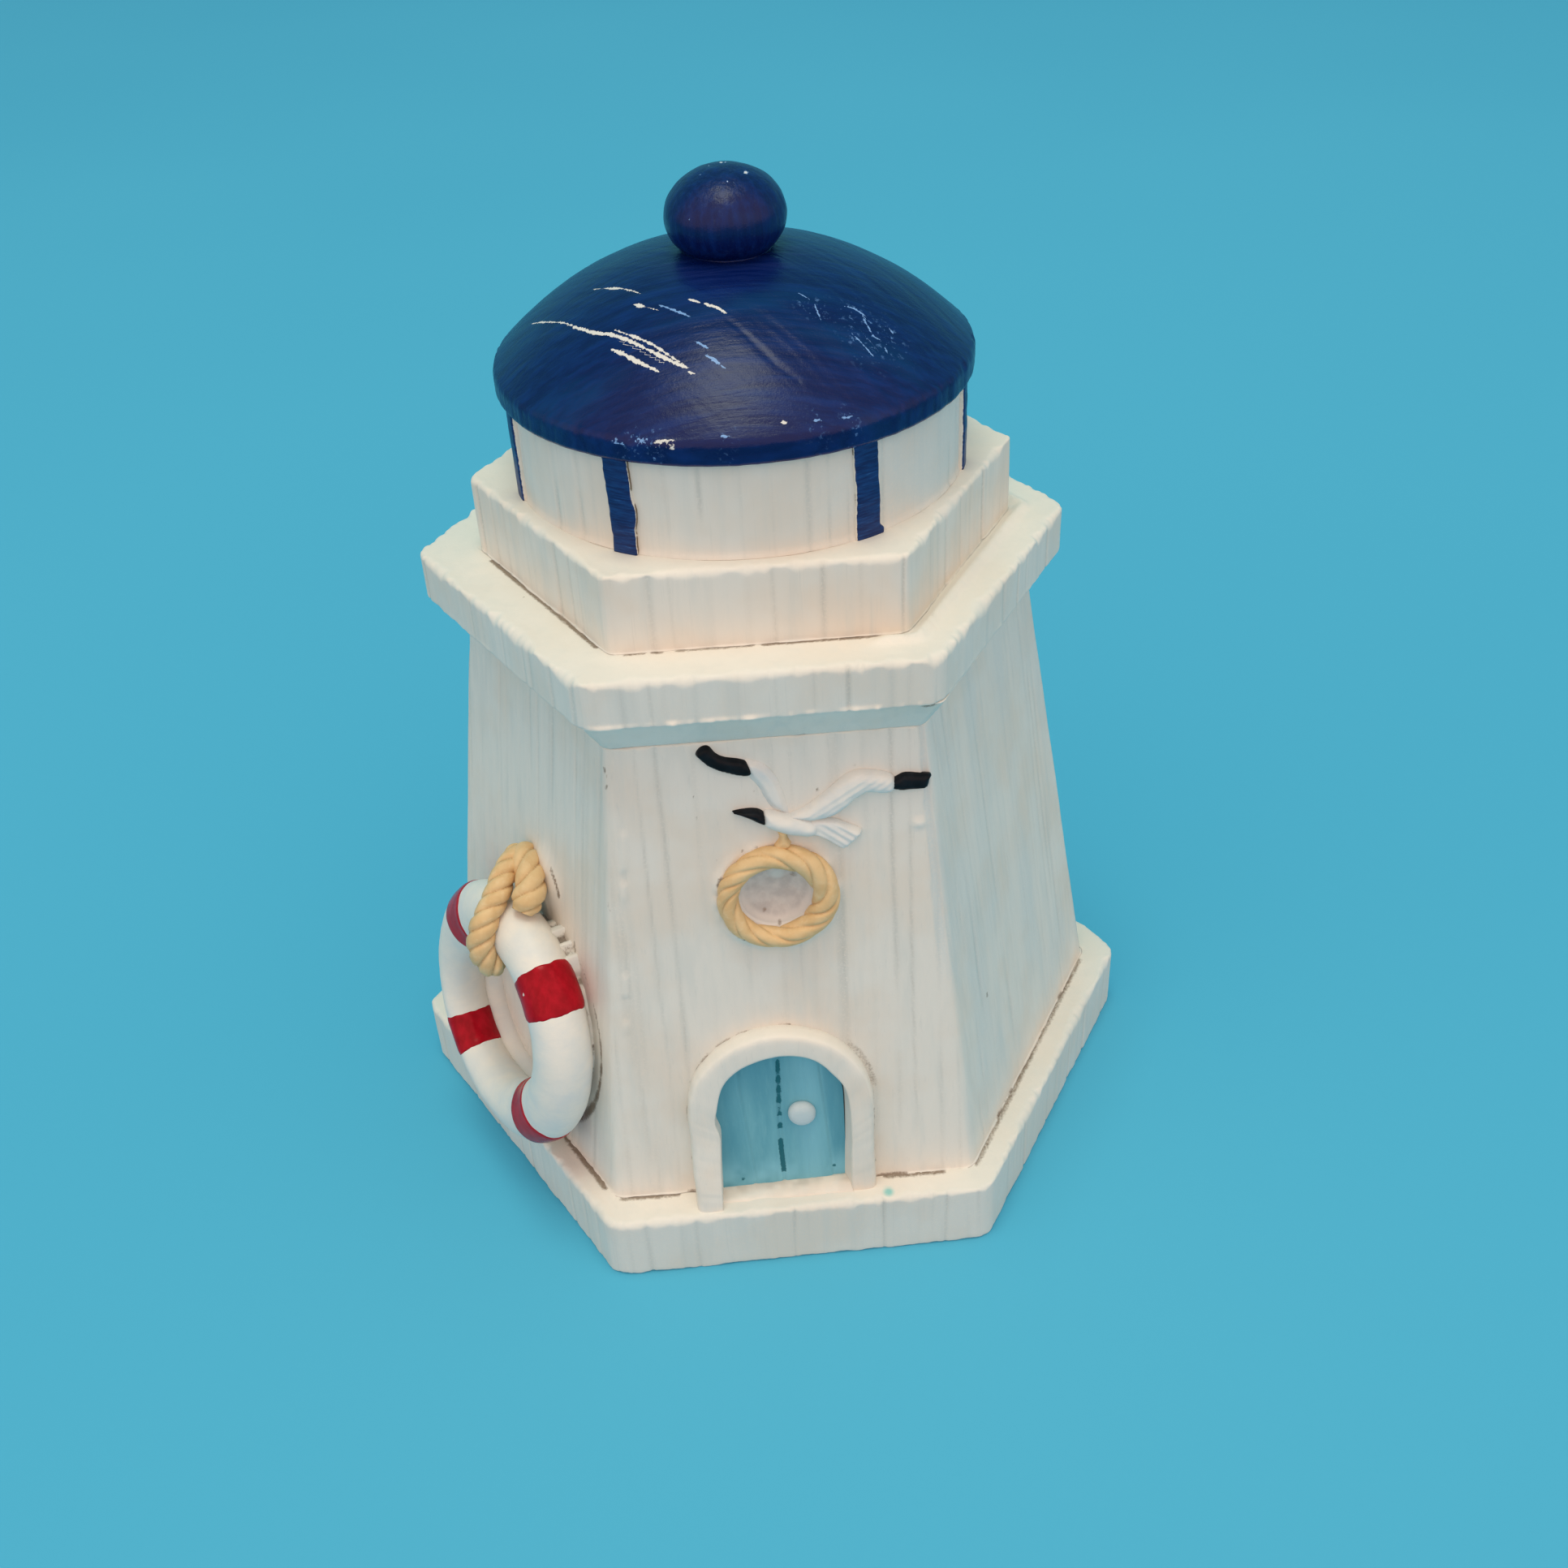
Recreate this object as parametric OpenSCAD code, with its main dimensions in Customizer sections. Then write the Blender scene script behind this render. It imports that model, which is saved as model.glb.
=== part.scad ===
// Hand-painted cast lighthouse figurine, front face towards -Y, standing on Z = 0.
// Sizes are in millimetres. The origin is the middle of the base's underside.

/* [Plinth] */
// Corner radius of the hexagonal base slab
plinth_r = 32; // [30:0.5:36]
// Height of the base slab
plinth_h = 5.9; // [4:0.1:8]

/* [Tower] */
// Corner radius of the tapered tower where it meets the plinth
tower_bottom_r = 28.9; // [27.5:0.1:29.5]
// Corner radius of the tapered tower at its top
tower_top_r = 22.4; // [21.5:0.1:23.5]
// Height of the tapered tower
tower_h = 39.7; // [37:0.1:46]

/* [Gallery] */
// Height of the chamfered moulding under the gallery slab
moulding_h = 3.0; // [2:0.1:4]
// Corner radius of the gallery slab
gallery_r = 25.0; // [24.2:0.1:27]
// Thickness of the gallery slab
gallery_h = 3.7; // [3:0.1:6]
// Corner radius of the hexagonal tier on the gallery
tier_r = 20.5; // [19.5:0.1:22]
// Height of the hexagonal tier
tier_h = 5.9; // [4:0.1:8]

/* [Lantern and roof] */
// Radius of the round lantern drum
drum_r = 16.5; // [15:0.1:17]
// Height of the lantern drum
drum_h = 7.0; // [5:0.1:10]
// How far the roof's rim stands out past the drum
roof_overhang = 0.8; // [0.4:0.1:2]
// Height of the upright band round the roof's rim
rim_h = 1.7; // [1:0.1:3]
// Rise of the dome above its rim band
dome_rise = 7.1; // [5:0.1:12]
// Radius of the ball on the roof
ball_r = 4.3; // [3.5:0.1:5]
// Half height of the ball, which is flatter than it is wide
ball_half_h = 3.3; // [2.6:0.1:4]

/* [Door] */
// Half width of the arched door surround
surround_half_w = 7.3; // [6.8:0.1:8]
// Half width of the door opening
opening_half_w = 5.0; // [4.6:0.1:5.2]
// Height at which the arch of the door starts
arch_spring_h = 8.3; // [6:0.1:9.5]
// How far the surround stands out from the wall
surround_depth = 1.5; // [1:0.1:1.7]

/* [Porthole] */
// Radius of the rope wreath's middle line
wreath_r = 3.6; // [3.4:0.1:4]
// Radius of the wreath's rope
wreath_rope_r = 0.9; // [0.7:0.05:1]
// Height up the wall of the porthole's centre
porthole_up = 27.25; // [26:0.05:27.5]

/* [Life ring] */
// Radius of the ring's middle line
ring_r = 8.85; // [8.5:0.05:9]
// Radius of the ring's tube
ring_tube_r = 2.25; // [2.1:0.05:2.3]
// Width of each coloured band, as an angle of the ring
band_angle = 21; // [14:1:28]

/* [Hidden] */
$fn = 64;
mullion_nodes = ["mullion_front_left", "mullion_front_right", "mullion_right", "mullion_rear_right",
    "mullion_rear", "mullion_rear_left", "mullion_left"];
band_nodes = ["ring_band_front_top", "ring_band_back_top", "ring_band_back_bottom",
    "ring_band_front_bottom"];

// Colours
resin = [0.90, 0.88, 0.83];
navy = [0.05, 0.10, 0.33];
teal = [0.32, 0.62, 0.72];
rope_tan = [0.83, 0.70, 0.46];
red = [0.68, 0.06, 0.10];
black = [0.05, 0.06, 0.07];

// Heights of the stacked castings
tower_top_z = plinth_h + tower_h;
gallery_z = tower_top_z + moulding_h;
tier_z = gallery_z + gallery_h;
drum_z = tier_z + tier_h;
roof_z = drum_z + drum_h;
dome_z = roof_z + rim_h;

// Hand-made shifts of each slab's corners, from the +X corner anticlockwise, in X and Y
plinth_shift = [[0, 0], [0.2, 0.1], [-0.2, -0.2], [-0.2, 0.3], [1.1, -0.4], [-0.5, 0.2]];
gallery_shift = [[0, 0], [0.2, -0.2], [-0.1, 0.2], [-0.4, -0.2], [0, 0], [-0.5, 0]];
tier_shift = [[0, 0], [-0.1, 0.2], [0.2, 0.1], [0.1, -0.4], [0, 0], [0, 0]];
plinth_round = 2.2;
gallery_round = 1.8;
tier_round = 1.0;

// Taper of the tower's faces
face_apothem = tower_bottom_r * cos(30);
face_lean = atan((tower_bottom_r - tower_top_r) * cos(30) / tower_h);
face_len = tower_h / cos(face_lean);
moulding_top_r = gallery_r - 0.4;

// Hexagonal locating spigots between the castings
spigot_r = 3.6;
spigot_gap = 0.1;
spigot_h = 2.2;

// How far a spigot or pin is rooted in its own casting, and how far a cut runs past a face
root = 1;
// Size of the blocks that trim pieces to a plane
trim = 100;

// Vertical grooves cut in the faces
groove_w = 0.3;
groove_depth = 0.22;
// Distance between grooves, and how many lie each side of the middle one
plinth_grooves = [2.9, 4];
tower_grooves = [3.1, 3];
gallery_grooves = [2.3, 4];
tier_grooves = [2.1, 3];

// Door
door_shift = -0.75;
opening_shift = -0.9;
opening_spring_h = 8.6;
leaf_inset = 0.8;
leaf_proud = 0.2;
knob_side = 0.9;
knob_up = 7.25;
knob_r = 1.08;
knob_pin_r = 0.45;
knob_pin_seat = 0.2;
knob_proud = 0.8;
seam_at = [-3.1, 0.1, 3.55];
seam_depth = 0.15;
sill_h = 0.35;
sill_depth = 1.35;
sill_gap = 0.1;
sill_clear = 0.25;

// Porthole
dish_r = wreath_r - wreath_rope_r + 0.35;
dish_depth = 1.5;
dish_wall = 0.5;
dish_rim = 0.3;
wreath_lift = 0.4;
wreath_oval = 0.935;
wreath_turns = 2.75;
wreath_strands = 4;
tab_size = [0.9, 0.8, 0.6];
tab_side = 0.25;
tab_gap = 0.05;
strand_relief = 0.13;

// Dome
dome_power = 2.4;
dome_steps = 24;
roof_r = drum_r + roof_overhang;
seat_r = 3.1;
seat_z = dome_z + dome_rise * (1 - pow(seat_r / roof_r, dome_power));
ball_drop = ball_half_h * sqrt(1 - pow(seat_r / ball_r, 2));
ball_z = seat_z + ball_drop;
ball_steps = 20;
pin_r = 1.4;
pin_len = 3;

// Mullions: angle of each strip's middle round the drum
mullion_at = [-121, -61.5, -15, 37.5, 90, 142, -165.5];
mullion_w = 6.8;
mullion_proud = 0.35;

// Gull: how far the whole relief is moved down the wall from its drawn outlines
gull_drop = 0.15;

// Life ring, on the face to the left of the door
ring_face = -60;
ring_side = 1.1;
ring_out = 2.75;
ring_turn = 1;
ring_tilt = -0.5;
ring_foot_gap = 0.05;
ring_drop = ring_r * cos(face_lean - ring_tilt) + ring_tube_r + ring_foot_gap;
ring_up = (ring_drop - ring_out * sin(face_lean)) / cos(face_lean);
band_at = [44.5, 134.5, 224.5, 314.5];
band_proud = 0.1;
band_seat = 0.25;
mount_inner = ring_r - 1.6;
mount_outer = ring_r + 1.0;
mount_top = 1.4;
rope_r = 1.05;
knot_r = 1.2;

// Corners of a hexagon of corner radius r, each moved by its shift
function hex_corners(r, shift) =
    [for (i = [0:5]) [r * cos(60 * i), r * sin(60 * i)] + shift[i]];

// Unit vector from a to b
function towards(a, b) = (b - a) / norm(b - a);

// Two points per corner, where a rounding of radius c meets the straight sides
function clipped_corners(p, c) = [
    for (i = [0:5])
        for (side = [5, 1])
            p[i] + towards(p[i], p[(i + side) % 6]) * c * tan(30)
];

// A point on an ellipse of half widths a and b
function on_ellipse(a, b, t) = [a * cos(t), b * sin(t)];

// Flat hexagon with rounded corners
module rounded_hexagon(r, shift, c) {
    corners = hex_corners(r, shift);
    polygon(clipped_corners(corners, c));
    for (i = [0:5]) {
        inward = towards(corners[i], [0, 0]);
        translate(corners[i] + inward * c / cos(30)) circle(r = c);
    }
}

// Upright grooves round a hexagonal slab, the same on every side
module slab_grooves(r, h, grooves) {
    for (i = [0:5])
        rotate([0, 0, 60 * i])
            for (k = [-grooves[1]:grooves[1]])
                translate([k * grooves[0] - groove_w / 2, -r * cos(30) - 2 * root, -root])
                    cube([groove_w, 2 * root + groove_depth, h + 2 * root]);
}

// A hexagonal slab with rounded corners and grooved sides
module grooved_slab(r, shift, c, h, grooves) {
    difference() {
        linear_extrude(h) rounded_hexagon(r, shift, c);
        slab_grooves(r, h, grooves);
    }
}

// A straight-sided hexagonal taper from radius r1 to radius r2
module hexagonal_taper(r1, r2, h) {
    lean = atan((r1 - r2) * cos(30) / h);
    big = 3 * max(r1, r2);
    difference() {
        cylinder(r = max(r1, r2), h = h, $fn = 6);
        for (i = [0:5])
            rotate([0, 0, 60 * i])
                translate([0, -r1 * cos(30), 0])
                    rotate([-lean, 0, 0])
                        translate([-big, -big, -big])
                            cube([2 * big, big, 2 * big]);
    }
}

// Hexagonal spigot, and the slightly larger socket it fits
module spigot(h) {
    cylinder(r = spigot_r, h = h, $fn = 6);
}
module socket(h) {
    translate([0, 0, -root])
        cylinder(r = spigot_r + spigot_gap, h = h + spigot_gap + root, $fn = 6);
}

// Places children on a tower face: X to the right, Y up the face, Z out of it
module on_face(turn) {
    rotate([0, 0, turn])
        translate([0, -face_apothem, plinth_h])
            rotate([90 - face_lean, 0, 0])
                children();
}

// Everything above the level of the plinth's top, to trim pieces that stand on it
module above_plinth() {
    translate([-trim, -trim, plinth_h]) cube([2 * trim, 2 * trim, trim]);
}

// Everything in front of a tower face
module before_face(turn) {
    on_face(turn) translate([-trim / 2, -trim / 2, 0]) cube(trim);
}

// Rounded arch: a rectangle with a half circle over it
module arch(half_w, spring, h) {
    linear_extrude(h) {
        translate([-half_w, -2 * root]) square([2 * half_w, spring + 2 * root]);
        translate([0, spring]) circle(r = half_w);
    }
}

module plinth() {
    color(resin) {
        grooved_slab(plinth_r, plinth_shift, plinth_round, plinth_h, plinth_grooves);
        translate([0, 0, plinth_h - root]) spigot(spigot_h + root);
    }
}

module tower_body() {
    color(resin) {
        difference() {
            translate([0, 0, plinth_h])
                hexagonal_taper(tower_bottom_r, tower_top_r, tower_h);
            translate([0, 0, plinth_h]) socket(spigot_h);
            for (i = [0:5])
                on_face(60 * i)
                    for (k = [-tower_grooves[1]:tower_grooves[1]])
                        translate([k * tower_grooves[0] - groove_w / 2, -2 * root, -groove_depth])
                            cube([groove_w, face_len + 4 * root, 2 * root]);
            on_face(0)
                translate([opening_shift, 0, -leaf_inset])
                    arch(opening_half_w, opening_spring_h, leaf_inset + root);
            on_face(0)
                translate([0, porthole_up, -dish_depth - dish_wall])
                    cylinder(r = dish_r, h = dish_depth + dish_wall + root);
        }
        translate([0, 0, tower_top_z - root]) spigot(moulding_h + spigot_h);
    }
}

module bed_moulding() {
    color(resin)
        difference() {
            translate([0, 0, tower_top_z])
                hexagonal_taper(tower_top_r, moulding_top_r, moulding_h);
            translate([0, 0, tower_top_z]) socket(moulding_h + root);
        }
}

module gallery_slab() {
    color(resin) {
        difference() {
            translate([0, 0, gallery_z])
                grooved_slab(gallery_r, gallery_shift, gallery_round, gallery_h, gallery_grooves);
            translate([0, 0, gallery_z]) socket(spigot_h - root);
        }
        translate([0, 0, tier_z - root]) spigot(spigot_h + root);
    }
}

module upper_tier() {
    color(resin) {
        difference() {
            translate([0, 0, tier_z])
                grooved_slab(tier_r, tier_shift, tier_round, tier_h, tier_grooves);
            translate([0, 0, tier_z]) socket(spigot_h);
        }
        translate([0, 0, drum_z - root]) spigot(spigot_h + root);
    }
}

module lantern_drum() {
    color(resin) {
        difference() {
            translate([0, 0, drum_z]) cylinder(r = drum_r, h = drum_h, $fn = 128);
            translate([0, 0, drum_z]) socket(spigot_h);
        }
        translate([0, 0, roof_z - root]) spigot(spigot_h + root);
    }
}

module mullion(at) {
    color(navy)
        translate([0, 0, drum_z])
            rotate([0, 0, at - mullion_w / 2])
                rotate_extrude(angle = mullion_w, $fn = 128)
                    translate([drum_r, 0])
                        square([mullion_proud, drum_h]);
}

module dome_roof() {
    profile = [
        for (i = [1:dome_steps])
            let (r = seat_r + (roof_r - seat_r) * i / dome_steps)
                [r, dome_z + dome_rise * (1 - pow(r / roof_r, dome_power))]
    ];
    color(navy)
        difference() {
            rotate_extrude($fn = 128)
                polygon(concat([[0, roof_z]], [[0, seat_z]], [[seat_r, seat_z]], profile,
                    [[roof_r, roof_z]]));
            translate([0, 0, roof_z]) socket(spigot_h);
            translate([0, 0, seat_z - pin_len - spigot_gap])
                cylinder(r = pin_r + spigot_gap, h = pin_len + root);
        }
}

module ball_finial() {
    low = asin(ball_drop / ball_half_h);
    profile = [
        for (i = [0:ball_steps])
            on_ellipse(ball_r, ball_half_h, -low + (90 + low) * i / ball_steps)
    ];
    color(navy) {
        translate([0, 0, ball_z])
            rotate_extrude($fn = 96)
                polygon(concat([[0, -ball_drop]], profile));
        translate([0, 0, seat_z - pin_len]) cylinder(r = pin_r, h = pin_len + root);
    }
}

module door_surround() {
    color(resin)
        intersection() {
            on_face(0)
                difference() {
                    translate([door_shift, 0, 0])
                        arch(surround_half_w, arch_spring_h, surround_depth);
                    translate([opening_shift, 0, -root])
                        arch(opening_half_w, opening_spring_h, surround_depth + 2 * root);
                }
            above_plinth();
        }
}

module door_leaf() {
    color(teal)
        intersection() {
            on_face(0)
                difference() {
                    translate([opening_shift, 0, -leaf_inset])
                        arch(opening_half_w, opening_spring_h, leaf_inset + leaf_proud);
                    for (side = seam_at)
                        translate([opening_shift + side, 0, leaf_proud - seam_depth])
                            cube([groove_w, trim, root]);
                    translate([knob_side, knob_up, -leaf_inset + knob_pin_seat])
                        cylinder(r = knob_pin_r, h = 2 * root);
                }
            above_plinth();
        }
}

module door_knob() {
    color(resin)
        on_face(0)
            translate([knob_side, knob_up, 0]) {
                translate([0, 0, -leaf_inset + knob_pin_seat])
                    cylinder(r = knob_pin_r, h = leaf_inset + leaf_proud);
                translate([0, 0, leaf_proud])
                    rotate_extrude($fn = 48)
                        polygon(concat([[0, 0]],
                            [for (i = [0:8]) on_ellipse(knob_r, knob_proud, 90 * i / 8)]));
            }
}

module door_sill() {
    color(resin)
        translate([opening_shift - opening_half_w + sill_gap, -face_apothem - sill_depth, plinth_h])
            cube([2 * (opening_half_w - sill_gap), sill_depth - sill_clear, sill_h]);
}

module porthole_dish() {
    color([0.78, 0.74, 0.72])
        on_face(0)
            translate([0, porthole_up, 0])
                rotate_extrude($fn = 64)
                    polygon(concat(
                        [[0, -dish_depth - dish_wall], [dish_r, -dish_depth - dish_wall]],
                        [[dish_r, 0], [dish_r - dish_rim, 0]],
                        [for (i = [0:10]) on_ellipse(dish_r - dish_rim, -dish_depth, 9 * i)]));
}

// A surface swept along rings of points, each ring with the same number of points
module skin(rings, closed) {
    n = len(rings[0]);
    m = len(rings);
    points = [for (ring = rings) for (p = ring) p];
    spans = closed ? m - 1 : m - 2;
    sides = [
        for (i = [0:spans])
            for (j = [0:n - 1])
                let (a = i * n + j, b = i * n + (j + 1) % n, c = ((i + 1) % m) * n)
                    each [[a, c + (j + 1) % n, b], [a, c + j, c + (j + 1) % n]]
    ];
    ends = closed ? [] : [[for (j = [0:n - 1]) j], [for (j = [n - 1:-1:0]) (m - 1) * n + j]];
    polyhedron(points = points, faces = concat(sides, ends), convexity = 6);
}

// Radius of a laid rope at angle t round it, after the strands have turned by twist
function rope_radius(r, t, twist) =
    r * (1 - strand_relief + strand_relief * abs(cos((t - twist) * wreath_strands / 2)) * 1.6);

module rope_wreath() {
    rings = [
        for (i = [0:59])
            let (around = 6 * i)
                [
                    for (j = [0:13])
                        let (
                            t = 360 * j / 14,
                            r = rope_radius(wreath_rope_r, t, around * wreath_turns)
                        )
                            [
                                (wreath_r + r * cos(t)) * cos(around),
                                (wreath_r * wreath_oval + r * cos(t)) * sin(around),
                                r * sin(t)
                            ]
                ]
    ];
    color(rope_tan)
        on_face(0)
            intersection() {
                translate([0, porthole_up, wreath_lift]) skin(rings, true);
                translate([-trim, 0, 0]) cube([2 * trim, trim, trim]);
            }
}

module wreath_tab() {
    color(rope_tan)
        on_face(0)
            translate([tab_side, porthole_up + wreath_r * wreath_oval + wreath_rope_r + tab_gap, 0])
                cube(tab_size);
}

// Raised relief of a flying gull, as flat pieces on the front wall
module relief(outline, thick) {
    on_face(0)
        translate([0, -gull_drop, 0])
            linear_extrude(thick)
                polygon(outline);
}

module gull_body() {
    color(resin)
        relief([[-0.4, 34.5], [-0.5, 33.5], [1.1, 32.65], [2.5, 32.35], [2.9, 33.7], [1.3, 34.1]],
            0.9);
}

module gull_face() {
    color(black)
        relief([[-0.5, 33.5], [-0.4, 34.5], [-0.9, 34.8], [-1.8, 34.9], [-2.8, 34.7], [-1.5, 34]],
            0.7);
}

module gull_left_wing() {
    color(resin)
        relief([[1.3, 34.1], [-0.4, 34.5], [-0.5, 36.3], [-1.2, 37.5], [-1.5, 38.7], [0, 37.5],
            [0.8, 36]], 0.6);
}

module gull_left_tip() {
    color(black)
        relief([[-1.5, 38.7], [-1.2, 37.5], [-3.1, 37.9], [-4.5, 38.8], [-5, 39.5], [-4.5, 40],
            [-4, 40], [-3.5, 39.3]], 0.6);
}

module gull_right_wing() {
    color(resin)
        relief([[2.9, 33.7], [4.8, 33.9], [6.2, 35.1], [7, 35.6], [8.7, 35.4], [8.7, 36.6],
            [8, 37], [6.5, 37.2], [5.6, 37], [4.2, 35.8], [2.6, 34.7], [1.3, 34.1]], 0.8);
}

module gull_right_tip() {
    color(black)
        relief([[8.7, 36.6], [8.7, 35.4], [11.1, 35.3], [11.4, 36.2], [9.8, 36.7]], 0.8);
}

module gull_tail() {
    color(resin)
        relief([[2.5, 32.35], [4.8, 31.2], [5.2, 31.1], [6.5, 32.4], [4.5, 33.5], [2.9, 33.7]],
            0.6);
}

// Places children in the life ring's frame: Z along the ring's axis, out of the wall
module on_ring() {
    on_face(ring_face)
        translate([ring_side, ring_up, ring_out])
            rotate([ring_tilt, ring_turn, 0])
                children();
}

// Part of the ring's tube, from one angle through a sweep
module tube(from, sweep, r) {
    rotate([0, 0, from])
        rotate_extrude(angle = sweep, $fn = 96)
            translate([ring_r, 0]) circle(r = r, $fn = 48);
}

module life_ring() {
    color(resin)
        on_ring()
            for (i = [0:3]) {
                gap = 90 - band_angle;
                tube(band_at[i] + band_angle / 2, gap, ring_tube_r);
                tube(band_at[i] - band_angle / 2 - root, band_angle + 2 * root,
                    ring_tube_r - band_seat);
            }
}

module ring_band(at) {
    color(red)
        on_ring()
            rotate([0, 0, at - band_angle / 2])
                rotate_extrude(angle = band_angle, $fn = 96)
                    translate([ring_r, 0])
                        difference() {
                            circle(r = ring_tube_r + band_proud, $fn = 48);
                            circle(r = ring_tube_r - band_seat, $fn = 48);
                        }
}

module ring_mount() {
    color(resin)
        intersection() {
            on_ring()
                difference() {
                    translate([0, 0, -2 * ring_out])
                        cylinder(r = mount_outer, h = 2 * ring_out - mount_top, $fn = 96);
                    translate([0, 0, -3 * ring_out])
                        cylinder(r = mount_inner, h = 3 * ring_out, $fn = 96);
                    rotate_extrude($fn = 96)
                        translate([ring_r, 0]) circle(r = ring_tube_r + band_proud, $fn = 48);
                }
            before_face(ring_face);
            above_plinth();
        }
}

// Routes of the rope in the face's frame: the strand that goes over the tube into the hole, and
// the thicker one that lies on the tube's top
strand_route = [
    [-0.9, 25.0, 0.7], [-0.1, 25.1, 1.5], [0.5, 24.5, 2.7], [1.4, 23.1, 3.9], [2.1, 21.4, 5.3],
    [2.3, 19.4, 5.8], [2.5, 17.8, 5.2], [2.6, 16.9, 4.3]
];
knot_route = [
    [-0.7, 25.2, 0.6], [0.6, 25.3, 1.0], [2.0, 24.7, 1.2], [3.1, 23.8, 1.6], [3.7, 23.0, 2.3],
    [3.9, 22.1, 2.9]
];

// Catmull-Rom point between p[i] and p[i + 1]
function curve_point(p, i, t) =
    let (
        a = p[max(i - 1, 0)], b = p[i], c = p[i + 1], d = p[min(i + 2, len(p) - 1)],
        t2 = t * t, t3 = t2 * t
    )
        0.5 * ((2 * b) + (c - a) * t + (2 * a - 5 * b + 4 * c - d) * t2
            + (3 * b - a - 3 * c + d) * t3);

// A laid rope of radius r along a smooth line through the route's points
module laid_rope(route, r) {
    per_span = 4;
    twist = 34;
    line = concat(
        [for (i = [0:len(route) - 2]) for (k = [0:per_span - 1]) curve_point(route, i, k / per_span)],
        [route[len(route) - 1]]);
    last = len(line) - 1;
    rings = [
        for (i = [0:last])
            let (
                along = towards(line[max(i - 1, 0)], line[min(i + 1, last)]),
                side = towards([0, 0, 0], cross(along, [0.9, 0.2, 0.4])),
                up = cross(along, side)
            )
                [
                    for (j = [0:11])
                        let (t = 30 * j, reach = rope_radius(r, t, twist * i))
                            line[i] + reach * (cos(t) * side + sin(t) * up)
                ]
    ];
    skin(rings, false);
}

module ring_rope() {
    color(rope_tan)
        difference() {
            intersection() {
                on_face(ring_face) {
                    laid_rope(strand_route, rope_r);
                    laid_rope(knot_route, knot_r);
                }
                before_face(ring_face);
            }
            on_ring()
                rotate_extrude($fn = 96)
                    translate([ring_r, 0]) circle(r = ring_tube_r, $fn = 48);
        }
}

plinth();
tower_body();
bed_moulding();
gallery_slab();
upper_tier();
lantern_drum();
for (i = [0:6])
    mullion(mullion_at[i]);
dome_roof();
ball_finial();
door_surround();
door_leaf();
door_knob();
door_sill();
porthole_dish();
rope_wreath();
wreath_tab();
gull_body();
gull_face();
gull_left_wing();
gull_left_tip();
gull_right_wing();
gull_right_tip();
gull_tail();
ring_mount();
life_ring();
for (i = [0:3])
    ring_band(band_at[i]);
ring_rope();
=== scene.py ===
"""Looks of the painted lighthouse figurine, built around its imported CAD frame.

Shapes are worked out in millimetres and turned into metres when a mesh is made.
"""

import math

import bpy
import numpy as np
from mathutils import Matrix, Vector, geometry


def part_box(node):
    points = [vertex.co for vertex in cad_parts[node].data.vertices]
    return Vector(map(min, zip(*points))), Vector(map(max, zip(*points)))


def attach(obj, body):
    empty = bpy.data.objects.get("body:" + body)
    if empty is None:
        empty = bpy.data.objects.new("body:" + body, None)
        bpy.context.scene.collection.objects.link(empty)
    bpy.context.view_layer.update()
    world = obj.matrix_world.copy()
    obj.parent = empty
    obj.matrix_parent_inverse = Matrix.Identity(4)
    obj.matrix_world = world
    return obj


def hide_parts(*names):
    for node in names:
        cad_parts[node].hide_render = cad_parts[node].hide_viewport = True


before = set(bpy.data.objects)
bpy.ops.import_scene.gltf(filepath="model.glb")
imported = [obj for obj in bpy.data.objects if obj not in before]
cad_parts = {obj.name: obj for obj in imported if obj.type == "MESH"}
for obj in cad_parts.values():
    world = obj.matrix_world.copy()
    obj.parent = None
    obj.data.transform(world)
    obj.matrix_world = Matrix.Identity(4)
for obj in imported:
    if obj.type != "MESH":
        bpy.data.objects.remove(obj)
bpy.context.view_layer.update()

MM = 0.001

# ---------------------------------------------------------------- driving sizes


def top_of(node):
    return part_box(node)[1].z / MM


def foot_of(node):
    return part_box(node)[0].z / MM


def reach_of(node):
    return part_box(node)[1].x / MM


PLINTH_TOP = foot_of("tower_body")
TOWER_TOP = foot_of("bed_moulding")
GALLERY_FOOT = foot_of("gallery_slab")
TIER_FOOT = foot_of("upper_tier")
DRUM_FOOT = foot_of("lantern_drum")
ROOF_FOOT = foot_of("dome_roof")
BALL_TOP = top_of("ball_finial")

PLINTH_R = 32.0
TOWER_R = 28.9
TOWER_TOP_R = 22.4
MOULDING_TOP_R = 24.6
GALLERY_R = 25.0
TIER_R = 20.5
DRUM_R = 16.5
ROOF_R = reach_of("dome_roof")
RIM_H = 1.7
DOME_RISE = 7.1
DOME_POWER = 2.4
BALL_R = reach_of("ball_finial")
BALL_HALF_H = 3.3
SEAT_R = 3.1

# Roundings of the castings' upright corners
PLINTH_ROUND = 2.2
TOWER_ROUND = 1.3
MOULDING_ROUND = 0.9
GALLERY_ROUND = 2.4
TIER_ROUND = 1.0

# Shifts of each slab's corners, from the +X corner anticlockwise
PLINTH_SHIFT = [(0, 0), (0.2, 0.1), (-0.2, -0.2), (-0.2, 0.3), (1.1, -0.4), (-0.5, 0.2)]
GALLERY_SHIFT = [(0, 0), (0.2, -0.2), (-0.1, 0.2), (-0.4, -0.2), (0, 0), (-0.5, 0)]
TIER_SHIFT = [(0, 0), (-0.1, 0.2), (0.2, 0.1), (0.1, -0.4), (0, 0), (0, 0)]
EVEN = [(0, 0)] * 6
FRONT_SIDE = 4
LEFT_SIDE = 3

APOTHEM = TOWER_R * math.cos(math.radians(30))
LEAN = math.atan((TOWER_R - TOWER_TOP_R) * math.cos(math.radians(30)) / (TOWER_TOP - PLINTH_TOP))

DOOR_MID = -0.75
SURROUND_HALF = 7.3
ARCH_SPRING = 8.3
KNOB = (0.9, 7.25)

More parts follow.
